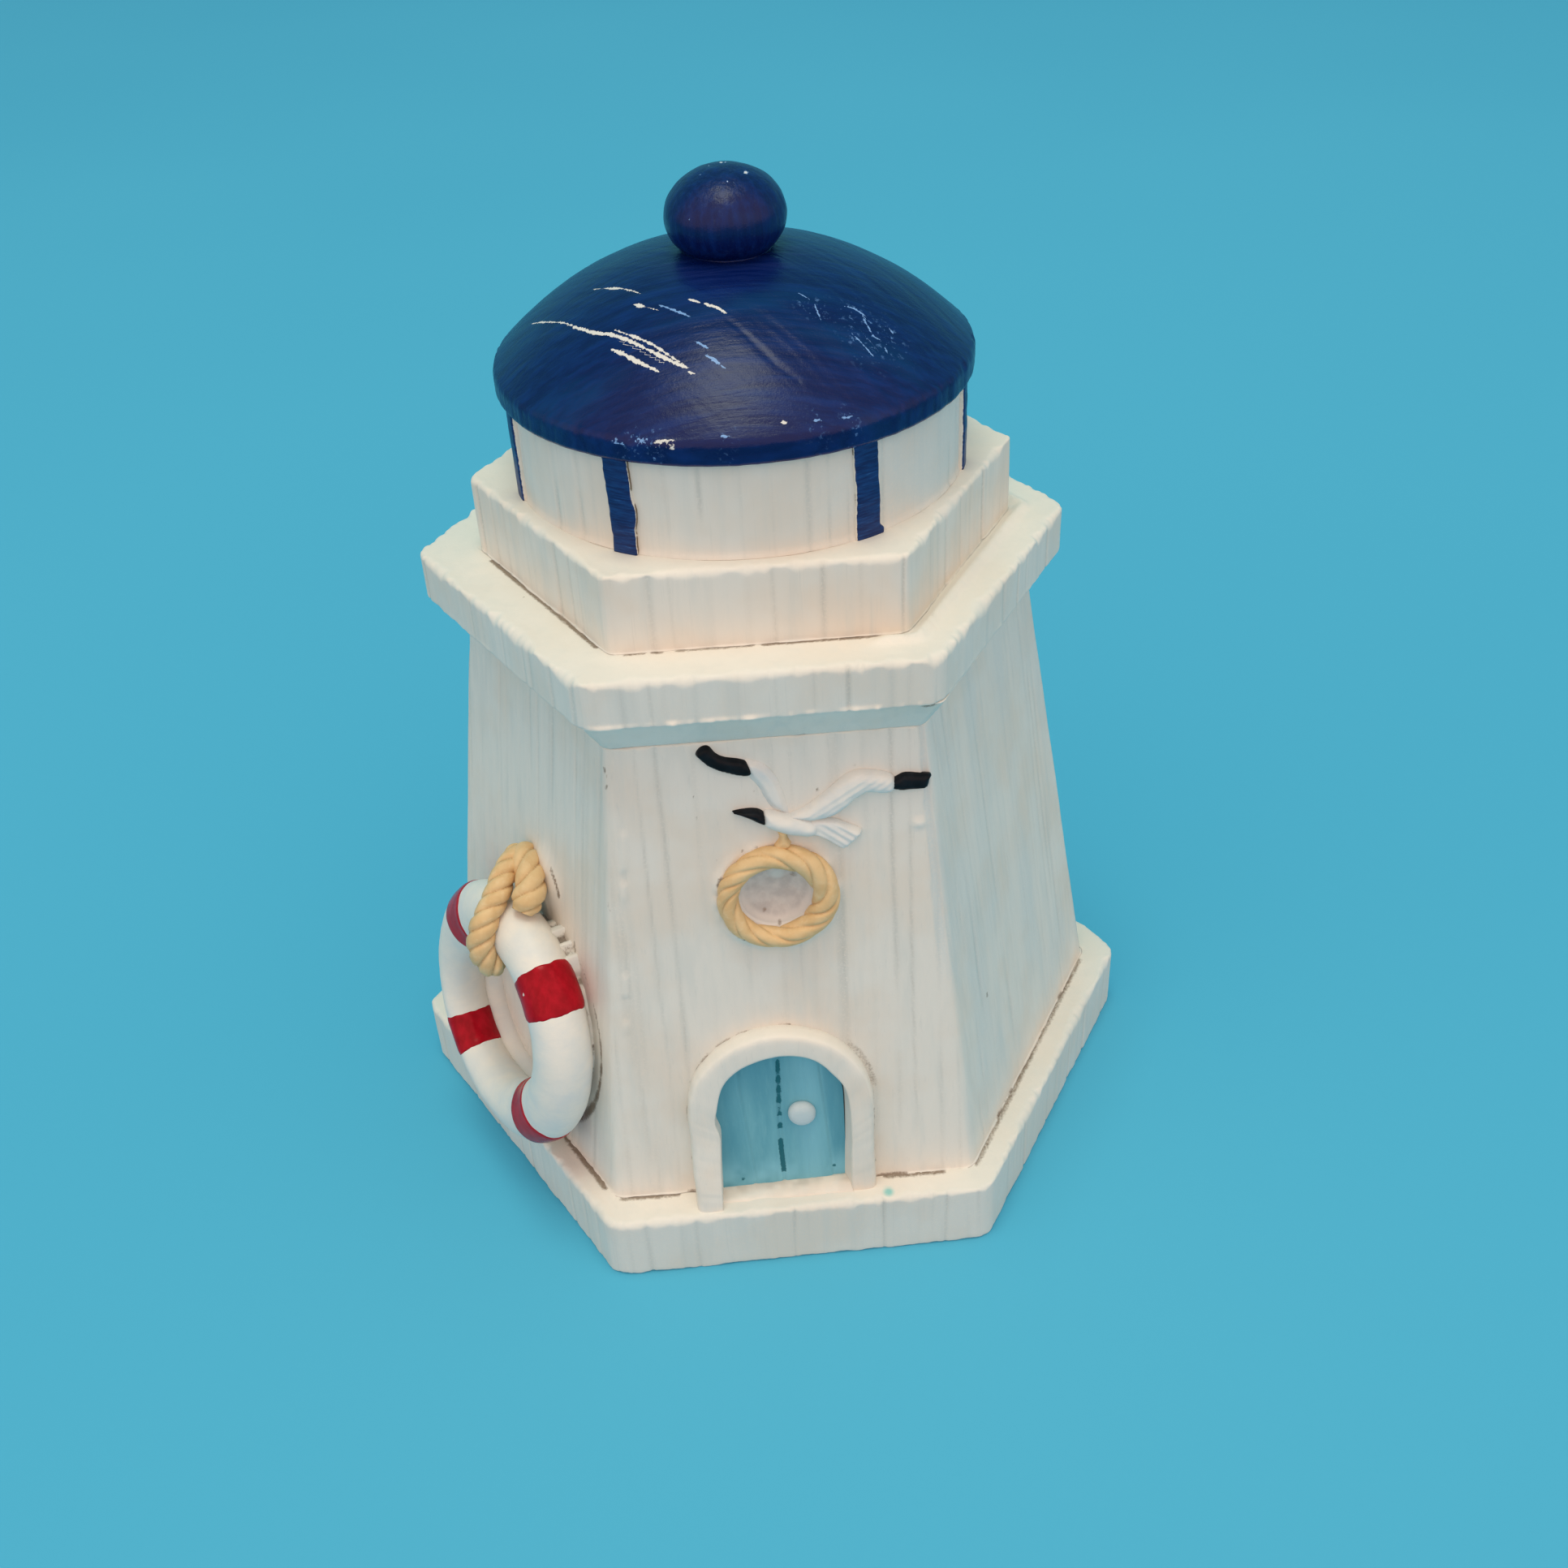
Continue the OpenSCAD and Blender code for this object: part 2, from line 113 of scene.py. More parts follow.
PORTHOLE = (0.05, 27.25)
WREATH_R = 3.6
WREATH_OVAL = 0.94
WREATH_ROPE = 0.9
DISH_R = 3.05
DISH_DEPTH = 1.25

RING_R = 8.85
RING_TUBE = 2.25
RING_SIDE = 1.1
RING_OUT = 2.75
RING_TURN = math.radians(1)
RING_TILT = math.radians(-0.5)
RING_GAP = 0.05
BAND_ANGLES = {
    "ring_band_front_top": 44.5,
    "ring_band_back_top": 134.5,
    "ring_band_back_bottom": 224.5,
    "ring_band_front_bottom": 314.5,
}
BAND_WIDTH = 21

MULLIONS = {
    "mullion_front_left": -121,
    "mullion_front_right": -61.5,
    "mullion_right": -15,
    "mullion_rear_right": 37.5,
    "mullion_rear": 90,
    "mullion_rear_left": 142,
    "mullion_left": -165.5,
}

# ---------------------------------------------------------------- noise


def lattice(ix, iy, iz, seed):
    """A repeatable number from 0 to 1 for each whole-number point."""
    n = (ix * 73856093) ^ (iy * 19349663) ^ (iz * 83492791) ^ (seed * 40503 + 977)
    n = n.astype(np.uint64) & np.uint64(0xFFFFFFFF)
    n = ((n ^ (n >> np.uint64(15))) * np.uint64(2246822519)) & np.uint64(0xFFFFFFFF)
    n = ((n ^ (n >> np.uint64(13))) * np.uint64(3266489917)) & np.uint64(0xFFFFFFFF)
    n = n ^ (n >> np.uint64(16))
    return n.astype(float) / 4294967296.0


def noise(x, y=0.0, z=0.0, seed=0):
    """Smooth noise from -1 to 1."""
    x, y, z = np.broadcast_arrays(np.asarray(x, float), y, z)
    fx, fy, fz = np.floor(x), np.floor(y), np.floor(z)
    ix, iy, iz = fx.astype(np.int64), fy.astype(np.int64), fz.astype(np.int64)
    tx, ty, tz = x - fx, y - fy, z - fz
    wx, wy, wz = (t * t * t * (t * (t * 6 - 15) + 10) for t in (tx, ty, tz))
    total = 0.0
    for dx in (0, 1):
        ax = wx if dx else 1 - wx
        for dy in (0, 1):
            ay = wy if dy else 1 - wy
            for dz in (0, 1):
                az = wz if dz else 1 - wz
                total = total + ax * ay * az * lattice(ix + dx, iy + dy, iz + dz, seed)
    return 2 * total - 1


def fbm(x, y=0.0, z=0.0, octaves=3, seed=0):
    total, size, top = 0.0, 1.0, 0.0
    for k in range(octaves):
        step = 2.0**k
        total = total + size * noise(x * step, y * step, z * step, seed + 31 * k)
        top += size
        size *= 0.5
    return total / top


def smooth(x, low, high):
    t = np.clip((x - low) / (high - low), 0, 1)
    return t * t * (3 - 2 * t)


# ---------------------------------------------------------------- mesh helpers


def grid_faces(rows, cols, wrap=True, close_rows=False):
    """Quads between rows of points. wrap joins each row's ends."""
    last_row = rows if close_rows else rows - 1
    last_col = cols if wrap else cols - 1
    i, j = np.meshgrid(np.arange(last_row), np.arange(last_col), indexing="ij")
    a = i * cols + j
    b = i * cols + (j + 1) % cols
    c = ((i + 1) % rows) * cols + (j + 1) % cols
    d = ((i + 1) % rows) * cols + j
    return np.stack([a, b, c, d], -1).reshape(-1, 4).tolist()


def add_piece(name, points, faces, material, nodes=(), marks=None):
    """A mesh piece from points in millimetres, riding on the one body."""
    mesh = bpy.data.meshes.new(name)
    mesh.from_pydata((np.asarray(points) * MM).tolist(), [], faces)
    mesh.polygons.foreach_set("use_smooth", [True] * len(mesh.polygons))
    for key, values in (marks or {}).items():
        layer = mesh.attributes.new(key, "FLOAT", "POINT")
        layer.data.foreach_set("value", np.asarray(values, np.float32).ravel())
    mesh.validate()
    mesh.update()
    piece = bpy.data.objects.new(name, mesh)
    bpy.context.scene.collection.objects.link(piece)
    mesh.materials.append(material)
    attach(piece, "root")
    if nodes:
        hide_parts(*nodes)
    return piece


def lathe(profile, count, wobble=None):
    """Rings of points round Z from (radius, height) pairs, lowest first."""
    turn = np.linspace(0, 2 * np.pi, count, endpoint=False)
    r = np.array([p[0] for p in profile])[:, None]
    z = np.array([p[1] for p in profile])[:, None] + 0 * turn
    r = r + 0 * turn
    if wobble is not None:
        r, z = wobble(r, z, turn[None, :] + 0 * r)
    return np.stack([r * np.cos(turn), r * np.sin(turn), z], -1)


def capped(rows, cols):
    """Faces of a tube of rings with a flat cap at both ends."""
    faces = grid_faces(rows, cols)
    faces.append(list(range(cols - 1, -1, -1)))
    faces.append([(rows - 1) * cols + j for j in range(cols)])
    return faces


def face_matrix(turn):
    """Frame of a tower face: X to the right, Y up the face, Z out of it, in mm."""
    return (
        Matrix.Rotation(math.radians(turn), 4, "Z")
        @ Matrix.Translation((0, -APOTHEM, PLINTH_TOP))
        @ Matrix.Rotation(math.pi / 2 - LEAN, 4, "X")
    )


def moved(points, matrix):
    m = np.array(matrix)
    return np.asarray(points) @ m[:3, :3].T + m[:3, 3]


FRONT = face_matrix(0)
LEFT = face_matrix(-60)
RING_UP = (
    RING_R * math.cos(LEAN - RING_TILT) + RING_TUBE + RING_GAP - RING_OUT * math.sin(LEAN)
) / math.cos(LEAN)
RING = (
    LEFT
    @ Matrix.Translation((RING_SIDE, RING_UP, RING_OUT))
    @ Matrix.Rotation(RING_TURN, 4, "Y")
    @ Matrix.Rotation(RING_TILT, 4, "X")
)


def distance_to_line(u, v, line, closed=False):
    """Least distance from points (u, v) to a polyline."""
    pts = np.array(line, float)
    ends = np.roll(pts, -1, axis=0) if closed else pts[1:]
    starts = pts if closed else pts[:-1]
    best = np.full(np.shape(u), 1e9)
    for (ax, ay), (bx, by) in zip(starts, ends):
        dx, dy = bx - ax, by - ay
        t = np.clip(((u - ax) * dx + (v - ay) * dy) / (dx * dx + dy * dy + 1e-12), 0, 1)
        best = np.minimum(best, np.hypot(u - ax - t * dx, v - ay - t * dy))
    return best


def inside(u, v, line):
    """True for points within a closed outline."""
    pts = np.array(line, float)
    hit = np.zeros(np.shape(u), bool)
    for (ax, ay), (bx, by) in zip(pts, np.roll(pts, -1, axis=0)):
        crosses = (ay > v) != (by > v)
        where = ax + (v - ay) / (by - ay + 1e-12) * (bx - ax)
        hit ^= crosses & (u < where)
    return hit


def rounded(line, step, closed=True):
    """A smooth Catmull-Rom line through the points, about step apart."""
    pts = np.array(line, float)
    n = len(pts)
    out = []
    spans = n if closed else n - 1
    for i in range(spans):
        if closed:
            a, b, c, d = (pts[(i + k) % n] for k in (-1, 0, 1, 2))
        else:
            a, b, c, d = (pts[min(max(i + k, 0), n - 1)] for k in (-1, 0, 1, 2))
        count = max(2, int(np.linalg.norm(c - b) / step))
        for t in np.arange(count) / count:
            t2, t3 = t * t, t**3
            out.append(
                0.5
                * (
                    2 * b
                    + (c - a) * t
                    + (2 * a - 5 * b + 4 * c - d) * t2
                    + (3 * b - a - 3 * c + d) * t3
                )
            )
    if not closed:
        out.append(pts[-1])
    return np.array(out)


# ---------------------------------------------------------------- hexagonal castings


def hex_loop(r, shift, c, per_side, per_corner):
    """Outline of a hexagon with rounded corners, its normals, side numbers and places along sides."""
    corners = [
        np.array([r * math.cos(math.radians(60 * i)), r * math.sin(math.radians(60 * i))])
        + np.array(shift[i])
        for i in range(6)
    ]
    points, normals, sides = [], [], []
    starts, ends, arcs = [], [], []
    for i in range(6):
        back = corners[i - 1] - corners[i]
        ahead = corners[(i + 1) % 6] - corners[i]
        back /= np.linalg.norm(back)
        ahead /= np.linalg.norm(ahead)
        half = math.acos(float(np.clip(back @ ahead, -1, 1))) / 2
        reach = c / math.tan(half)
        middle = back + ahead
        middle /= np.linalg.norm(middle)
        centre = corners[i] + middle * c / math.sin(half)
        start, end = corners[i] + back * reach, corners[i] + ahead * reach
        a0 = math.atan2(*(start - centre)[::-1])
        a1 = math.atan2(*(end - centre)[::-1])
        if a1 < a0:
            a1 += 2 * math.pi
        starts.append(start)
        ends.append(end)
        arcs.append((centre, a0, a1))
    for i in range(6):
        centre, a0, a1 = arcs[i]
        for k in range(per_corner):
            a = a0 + (a1 - a0) * k / per_corner
            points.append(centre + c * np.array([math.cos(a), math.sin(a)]))
            normals.append([math.cos(a), math.sin(a)])
            sides.append((i - 1) % 6 if k < per_corner / 2 else i)
        here, there = ends[i], starts[(i + 1) % 6]
        run = (there - here) / np.linalg.norm(there - here)
        for k in range(per_side):
            points.append(here + (there - here) * k / per_side)
            normals.append([run[1], -run[0]])
            sides.append(i)
    points, normals, sides = np.array(points), np.array(normals), np.array(sides)
    along = np.zeros(len(points))
    for i in range(6):
        here, there = corners[i], corners[(i + 1) % 6]
        run = (there - here) / np.linalg.norm(there - here)
        mine = sides == i
        along[mine] = (points[mine] - (here + there) / 2) @ run
    return points, normals, sides, along


def groove_depth(sides, along, height, seed, pitch, deepest):
    """Depth of the uneven upright grooves at each point of a wall."""
    rng = np.random.RandomState(seed)
    depth = np.zeros(np.shape(along))
    for side in range(6):
        mine = sides == side
        u, h = along[mine], height[mine]
        total = np.zeros(len(u))
        at = -20.0
        while at < 20:
            width = rng.uniform(0.09, 0.24)
            deep = deepest * rng.uniform(0.15, 1.0) ** 1.6
            sway = 0.12 * noise(h / 9.0, at, side, seed)
            fade = 0.45 + 0.55 * noise(h / 7.0, at * 3.1, side, seed + 5)
            total += deep * np.clip(fade, 0, 1) * np.exp(-(((u - at - sway) / width) ** 2))
            at += pitch * rng.uniform(0.35, 1.6)
        depth[mine] = total
    return depth


def wall_relief(sides, along, height, seed):
    """Gentle unevenness and upright grain of a hand-finished wall."""
    grain = fbm(along / 0.45, height / 7.0, sides * 7.3, 3, seed)
    waves = fbm(along / 4.0, height / 9.0, sides * 3.7, 2, seed + 9)
    return 0.028 * grain + 0.07 * waves


def crease_wash(sides, along, seed, strength):
    """Broken brown line left in a crease, from 0 to 1 round the outline."""
    gate = fbm(along / 2.6, sides * 5.7, 0.3, 3, seed)
    return strength * smooth(gate, -0.05, 0.35)


def dense_steps(around, span, step, last):
    """Fractions from 0 to last of the way in from a slab's rim, close together near a crease."""
    coarse = list(np.linspace(0, 0.03, 5)) + list(np.arange(0.03, last, 0.012))
    close = list(np.arange(around - span, around + span, step))
    clear = [s for s in coarse if abs(s - around) > span and 0 < s < last]
    return sorted(clear + [s for s in close if 0.004 < s < last])


# Height of the brown line at a casting's foot, and the depth at which a groove's painted shade is at
# its darkest
FOOT_LINE = 0.22
DEEP_GROOVE = 0.12
# Painted light: how strongly the slabs' flat tops are drawn paler and cleaner
TOP_PAINTED_LIGHT = 0.8


def worn_edges(flat, spacing, seed, edge, edge_chips, foot_edge):
    """Sizes of the chipped top edge and of the rounded foot, all round an outline."""
    run = np.concatenate([[0], np.cumsum(np.linalg.norm(np.diff(flat, axis=0), axis=1))])
    turn = run / (run[-1] + spacing) * 2 * np.pi
    ring_x, ring_y = np.cos(turn) * run[-1] / 6.28, np.sin(turn) * run[-1] / 6.28
    chip = fbm(ring_x / 1.15, ring_y / 1.15, seed, 3, seed + 3)
    nick = np.clip(noise(ring_x / 0.8, ring_y / 0.8, seed + 0.5, seed + 4) - 0.45, 0, 1)
    bevel = edge * np.clip(0.9 + edge_chips * (0.9 * chip + 1.2 * nick), 0.3, 2.4)
    foot = foot_edge * np.clip(1 + 0.8 * chip[::-1], 0.3, 2)
    return bevel, foot


def wall_levels(low, high, bevel, foot, rows):
    """Inset, level and share of the top edge for each ring of a wall, lowest first."""
    found = []
    for q in (0.0, 0.35, 0.7):
        inset = foot * (1 - math.sin(q * math.pi / 2))
        found.append((inset, low + np.abs(foot) * (1 - math.cos(q * math.pi / 2)), 0.0))
    start = low + np.abs(foot)
    for k in range(rows + 1):
        found.append((np.zeros(len(bevel)), start + (high - start - bevel) * k / rows, 0.0))
    for q in (0.15, 0.3, 0.45, 0.6, 0.75, 0.9, 1.0):
        a = q * math.pi / 2
        found.append((bevel * (1 - math.cos(a)), high - bevel * (1 - math.sin(a)), q))
    return found


def hex_casting(
    name, node, low, high, r_low, r_high, shift, corner, seed, pitch, deepest, edge, spacing, rows,
    steps=(0.01, 0.03, 0.06, 0.1), edge_chips=1.0, foot_edge=0.25, foot_wash=0.0, top_creases=None,
    extra=None, lump=0.04,
):
    """A hexagonal casting: grooved side wall, chipped top edge, flat top and underside.

    corner is the rounding of its upright corners. Grooves are pitch apart and up to deepest deep.
    edge is the size of the chipped top edge. spacing and rows set how fine the mesh is.
    foot_edge is a rounding of the lower edge, or a fillet that flares out when it is negative.
    """
    per_side = int(r_low / spacing)
    per_corner = max(4, int(corner * 1.05 / spacing * 1.6))
    loop_low = hex_loop(r_low, shift, corner, per_side, per_corner)
    loop_high = hex_loop(r_high, shift, corner, per_side, per_corner)
    flat, normal, sides, _ = loop_low
    cols = len(flat)
    bevel, foot = worn_edges(flat, spacing, seed, edge, edge_chips, foot_edge)
    height = high - low
    rings = []
    marks = {"groove": [], "wash": [], "edge": [], "cool": []}
    for inset, level, kind in wall_levels(low, high, bevel, foot, rows):
        t = np.clip((level - low) / height, 0, 1)
        xy = loop_low[0] * (1 - t[:, None]) + loop_high[0] * t[:, None]
        along = loop_low[3] * (1 - t) + loop_high[3] * t
        cut = groove_depth(sides, along, level, seed, pitch, deepest) * (1 - 0.8 * kind)
        push = wall_relief(sides, along, level, seed) - cut - inset
        # Painted light: the rounded top edge is drawn paler as it turns up towards the top
        brown, cool, pale = np.zeros(cols), np.zeros(cols), np.full(cols, kind)
        if extra is not None:
            more, brown, cool, lit = extra(sides, along, level)
            push = push + more
            pale = np.maximum(pale, lit)
        rings.append(np.column_stack([xy + normal * push[:, None], level]))
        foot_line = np.exp(-(((level - low) / FOOT_LINE) ** 2))
        foot_line = foot_line * crease_wash(sides, along, seed + 11, foot_wash)
        marks["groove"].append(np.clip(cut / DEEP_GROOVE, 0, 1))
        marks["wash"].append(np.maximum(brown, foot_line))
        marks["edge"].append(pale)
        marks["cool"].append(cool)
    top = rings[-1]
    for s in steps:
        xy = top[:, :2] * (1 - s)
        ease = smooth(s, 0, 0.03)
        uneven = lump * fbm(xy[:, 0] / 2.6, xy[:, 1] / 2.6, seed, 2, seed + 6)
        sink, brown = np.zeros(cols), np.zeros(cols)
        if top_creases is not None:
            sink, brown = top_creases(xy)
        level = top[:, 2] * (1 - ease) + (high + uneven) * ease - sink
        rings.append(np.column_stack([xy, level]))
        marks["groove"].append(np.zeros(cols))
        marks["wash"].append(brown)
        marks["edge"].append(np.full(cols, TOP_PAINTED_LIGHT))
        marks["cool"].append(np.zeros(cols))
    return add_piece(
        name, np.concatenate(rings), capped(len(rings), cols), MATERIALS["whitewash"],
        [node], {key: np.concatenate(value) for key, value in marks.items()},
    )


# ---------------------------------------------------------------- materials

# Brown wash, as it shows on each kind of paint. On resin the same brown also lays the painted shade in
# the life ring's hole and the painted shadows of the ring and its rope
RESIN_WASH = (0.17, 0.11, 0.065)
PAINT_WASH = (0.19, 0.135, 0.09)
MULLION_WASH = (0.19, 0.13, 0.08)
ROPE_WASH = (0.19, 0.12, 0.07)
DISH_WASH = (0.27, 0.20, 0.15)
# Brown of the painted shade laid by the smear mark, on resin and on white paint
RESIN_SHADE = (0.50, 0.43, 0.36)
PAINT_SHADE = (0.52, 0.45, 0.38)
# Resin where the enamel is scraped off, and where it is only worn thin
BARE_RESIN = (0.74, 0.71, 0.66)
SCUFFED_BLUE = (0.20, 0.36, 0.66)


class Nodes:
    """Short calls for building a material's node tree."""

    def __init__(self, name):
        self.material = bpy.data.materials.new(name)
        self.material.use_nodes = True
        self.tree = self.material.node_tree
        self.shader = self.tree.nodes["Principled BSDF"]
        self.place = None

    def add(self, kind, inputs=(), **props):
        node = self.tree.nodes.new(kind)
        for key, value in props.items():
            setattr(node, key, value)
        for key, value in dict(inputs).items():
            self.put(node.inputs[key], value)
        return node

    def put(self, socket, value):
        if isinstance(value, bpy.types.NodeSocket):
            self.tree.links.new(value, socket)
        else:
            socket.default_value = value

    def mm(self):
        """Object coordinates in millimetres."""
        if self.place is None:
            coords = self.add("ShaderNodeTexCoord")
            self.place = self.add(
                "ShaderNodeVectorMath",
                {0: coords.outputs["Object"], 1: (1000, 1000, 1000)},
                operation="MULTIPLY",
            ).outputs[0]
        return self.place

    def stretched(self, scale, turn=(0, 0, 0)):
        return self.add(
            "ShaderNodeMapping", {"Vector": self.mm(), "Scale": scale, "Rotation": turn}
        ).outputs[0]

    def noise(self, scale, vector=None, detail=3.0, rough=0.55, distortion=0.0):
        return self.add(
            "ShaderNodeTexNoise",
            {
                "Vector": vector if vector is not None else self.mm(),
                "Scale": scale,
                "Detail": detail,
                "Roughness": rough,
                "Distortion": distortion,
            },
        ).outputs["Fac"]

    def ramp(self, value, low, high):
        return self.add(
            "ShaderNodeMapRange",
            {"Value": value, "From Min": low, "From Max": high},
            interpolation_type="SMOOTHSTEP",
        ).outputs[0]

    def math(self, kind, a, b=0.0, clamp=False):
        return self.add("ShaderNodeMath", {0: a, 1: b}, operation=kind, use_clamp=clamp).outputs[0]

    def mix(self, amount, a, b, kind="MIX"):
        node = self.add("ShaderNodeMix", data_type="RGBA", blend_type=kind)
        self.put(node.inputs[0], amount)
        for socket, value in ((node.inputs[6], a), (node.inputs[7], b)):
            if not isinstance(value, bpy.types.NodeSocket):
                value = (*value, 1.0)
            self.put(socket, value)
        return node.outputs[2]

    def over(self, color, paint, mask, most):
        """The colour with a paint laid over it where the mask is high, at most this strong."""
        return self.mix(self.math("MULTIPLY", mask, most), color, paint)

    def mark(self, name):
        return self.add("ShaderNodeAttribute", attribute_name=name).outputs["Fac"]

    def broken(self, name, fine, amount):
        """A paint mark whose edge is broken up by fine noise."""
        mark = self.mark(name)
        return self.math("ADD", mark, self.math("MULTIPLY", self.math("SUBTRACT", fine, 0.5), amount))

    def bump(self, height, strength, distance, normal=None):
        inputs = {"Height": height, "Strength": strength, "Distance": distance}
        if normal is not None:
            inputs["Normal"] = normal
        return self.add("ShaderNodeBump", inputs).outputs[0]

    def finish(self, color, roughness, normal=None, **constants):
        self.put(self.shader.inputs["Base Color"], color)
        self.put(self.shader.inputs["Roughness"], roughness)
        if normal is not None:
            self.put(self.shader.inputs["Normal"], normal)
        for key, value in constants.items():
            self.put(self.shader.inputs[key.replace("_", " ")], value)
        return self.material


def whitewash(name, base, cool, streak_amount):
    """Whitewashed resin: faint upright streaks, thin lines, specks and brown wash in creases, with
    painted shade in grooves and on the sill and painted light on tops and upward edges.
    """
    n = Nodes(name)
    broad = n.noise(0.8, n.stretched((1, 1, 0.08)), 3, 0.55)
    thin = n.noise(4.2, n.stretched((1, 1, 0.03)), 3, 0.6)
    patch = n.noise(0.12, detail=3, rough=0.6)
    fine = n.noise(5.0, detail=4, rough=0.7)
    beige = (base[0] * 0.98, base[1] * 0.925, base[2] * 0.88)
    color = n.mix(n.ramp(patch, 0.40, 0.66), base, beige)
    color = n.over(color, cool, n.ramp(broad, 0.45, 0.75), streak_amount)
    side = n.math("SUBTRACT", 1.0, n.mark("edge"), True)
    lines = n.math("MULTIPLY", n.ramp(thin, 0.60, 0.74), n.math("MULTIPLY", side, 0.16))
    color = n.mix(lines, color, [c * 0.80 for c in cool])
    # Painted shade in the grooves, darker the deeper they are
    cut = n.math("MULTIPLY", n.mark("groove"), n.ramp(fine, 0.25, 0.55))
    color = n.over(color, (0.47, 0.46, 0.41), cut, 0.60)
    tinted = n.math("MULTIPLY", n.mark("cool"), n.ramp(fine, 0.1, 0.6))
    color = n.over(color, (0.58, 0.65, 0.65), tinted, 0.60)
    # Paler, cleaner paint where the edge mark is high: painted light on the slabs' tops and upward
    # edges, on the arch's crown and on the sill's front edge, and real pale paint and lumps on the
    # walls
    color = n.over(color, [min(1, c * 1.06) for c in base], n.mark("edge"), 0.7)
    cells = n.stretched((1, 1, 0.6))
    speck = n.add("ShaderNodeTexVoronoi", {"Vector": cells, "Scale": 0.16, "Randomness": 1.0})
    ragged = n.math("ADD", speck.outputs["Distance"], n.math("MULTIPLY", fine, 0.05))
    dots = n.math("LESS_THAN", ragged, 0.052)
    color = n.over(color, RESIN_WASH, dots, 0.55)
    # Brown wash in creases; round the life ring and its rope this mark also holds painted shade and
    # shadows
    broken = n.broken("wash", fine, 0.7)
    color = n.over(color, RESIN_WASH, n.ramp(broken, 0.3, 0.85), 0.85)
    # Painted shade on the sill, where the smear mark is high
    color = n.mix(n.mark("smear"), color, RESIN_SHADE)
    color = n.mix(n.mark("teal"), color, (0.30, 0.60, 0.56))
    rough = n.math("ADD", n.math("MULTIPLY", fine, 0.22), 0.45)
    grain = n.noise(2.6, n.stretched((1, 1, 0.10)), 4, 0.6)
    bumps = n.bump(grain, 0.20, 0.00010)
    bumps = n.bump(fine, 0.22, 0.00004, bumps)
    return n.finish(color, rough, bumps, Specular_IOR_Level=0.3)


def bare_line(n, key, ragged):
    """Where the paint is scraped off along the lines of one set of scratches."""
    away = n.math("ABSOLUTE", n.mark(key + "_offset"))
    room = n.math("SUBTRACT", n.mark(key + "_reach"), away)
    return n.ramp(n.math("ADD", room, ragged), 0.0, 0.035)


def navy_enamel(name, glaze, strokes_turn, grain):
    """Brushed navy enamel, scraped down to pale resin along its scratches."""
    n = Nodes(name)
    turn = (0, 0, math.radians(strokes_turn))
    strokes = n.noise(1.7, n.stretched(grain, turn), 4, 0.6)
    wide = n.noise(0.22, n.stretched((0.35, 1.0, 0.6), turn), 3, 0.55)
    fine = n.noise(6.0, detail=3)
    coarse = n.noise(2.6, detail=4, rough=0.7)
    color = n.mix(n.ramp(strokes, 0.35, 0.75), (0.0005, 0.007, 0.070), (0.001, 0.018, 0.125))
    color = n.over(color, (0.001, 0.038, 0.135), n.ramp(wide, 0.5, 0.72), 0.5)
    rub = n.math("MULTIPLY", n.ramp(coarse, 0.56, 0.68), n.mark("wear"))
    color = n.over(color, (0.14, 0.30, 0.62), rub, 0.75)
    rust = n.math("MULTIPLY", n.ramp(strokes, 0.4, 0.7), n.mark("rust"))
    color = n.over(color, (0.036, 0.026, 0.060), rust, 0.22)
    ragged = n.math("MULTIPLY", n.math("SUBTRACT", coarse, 0.52), 0.42)
    jag = n.math("MULTIPLY", n.math("SUBTRACT", fine, 0.5), 0.16)
    rough_edge = n.math("ADD", ragged, jag)
    color = n.mix(bare_line(n, "blue", rough_edge), color, SCUFFED_BLUE)
    bare = n.math("MAXIMUM", bare_line(n, "long", rough_edge), bare_line(n, "short", rough_edge))
    color = n.mix(bare, color, BARE_RESIN)
    rough = n.math("ADD", n.math("MULTIPLY", strokes, 0.20), glaze)
    rough = n.math("ADD", rough, n.math("MULTIPLY", bare, 0.3))
    bumps = n.bump(strokes, 0.45, 0.00010)
    bumps = n.bump(coarse, 0.30, 0.00006, bumps)
    bumps = n.bump(fine, 0.20, 0.00004, bumps)
    return n.finish(color, rough, bumps, Specular_IOR_Level=0.25)


def mullion_paint(name):
    """Navy strip brushed across its width, with its raised sides left cream."""
    n = Nodes(name)
    strokes = n.noise(1.5, n.stretched((0.4, 0.4, 4.0)), 4, 0.65)
    fine = n.noise(5.0, detail=3)
    navy = n.mix(n.ramp(strokes, 0.35, 0.7), (0.001, 0.012, 0.085), (0.004, 0.045, 0.19))
    navy = n.over(navy, (0.07, 0.20, 0.42), n.ramp(strokes, 0.60, 0.76), 0.5)
    painted = n.broken("paint", fine, 0.5)
    brown = n.broken("wash", fine, 0.8)
    cream = n.mix(n.ramp(brown, 0.5, 0.8), (0.76, 0.72, 0.64), MULLION_WASH)
    color = n.mix(n.ramp(painted, 0.40, 0.55), cream, navy)
    bumps = n.bump(strokes, 0.4, 0.00006)
    return n.finish(color, 0.42, bumps, Specular_IOR_Level=0.3)


def gloss_paint(name, dark, light, roughness, stretch, depth=0.00006):
    """Brushed paint of one hue, thicker and thinner along its strokes."""
    n = Nodes(name)
    strokes = n.noise(1.2, n.stretched(stretch), 4, 0.6)
    fine = n.noise(6.0, detail=3)
    color = n.mix(n.ramp(strokes, 0.3, 0.75), dark, light)
    chipped = n.broken("chip", fine, 0.5)
    color = n.mix(n.ramp(chipped, 0.55, 0.7), color, (0.72, 0.60, 0.55))
    rough = n.math("ADD", n.math("MULTIPLY", fine, 0.14), roughness)
    bumps = n.bump(strokes, 0.35, depth)
    bumps = n.bump(fine, 0.15, 0.00003, bumps)
    return n.finish(color, rough, bumps, Specular_IOR_Level=0.13)


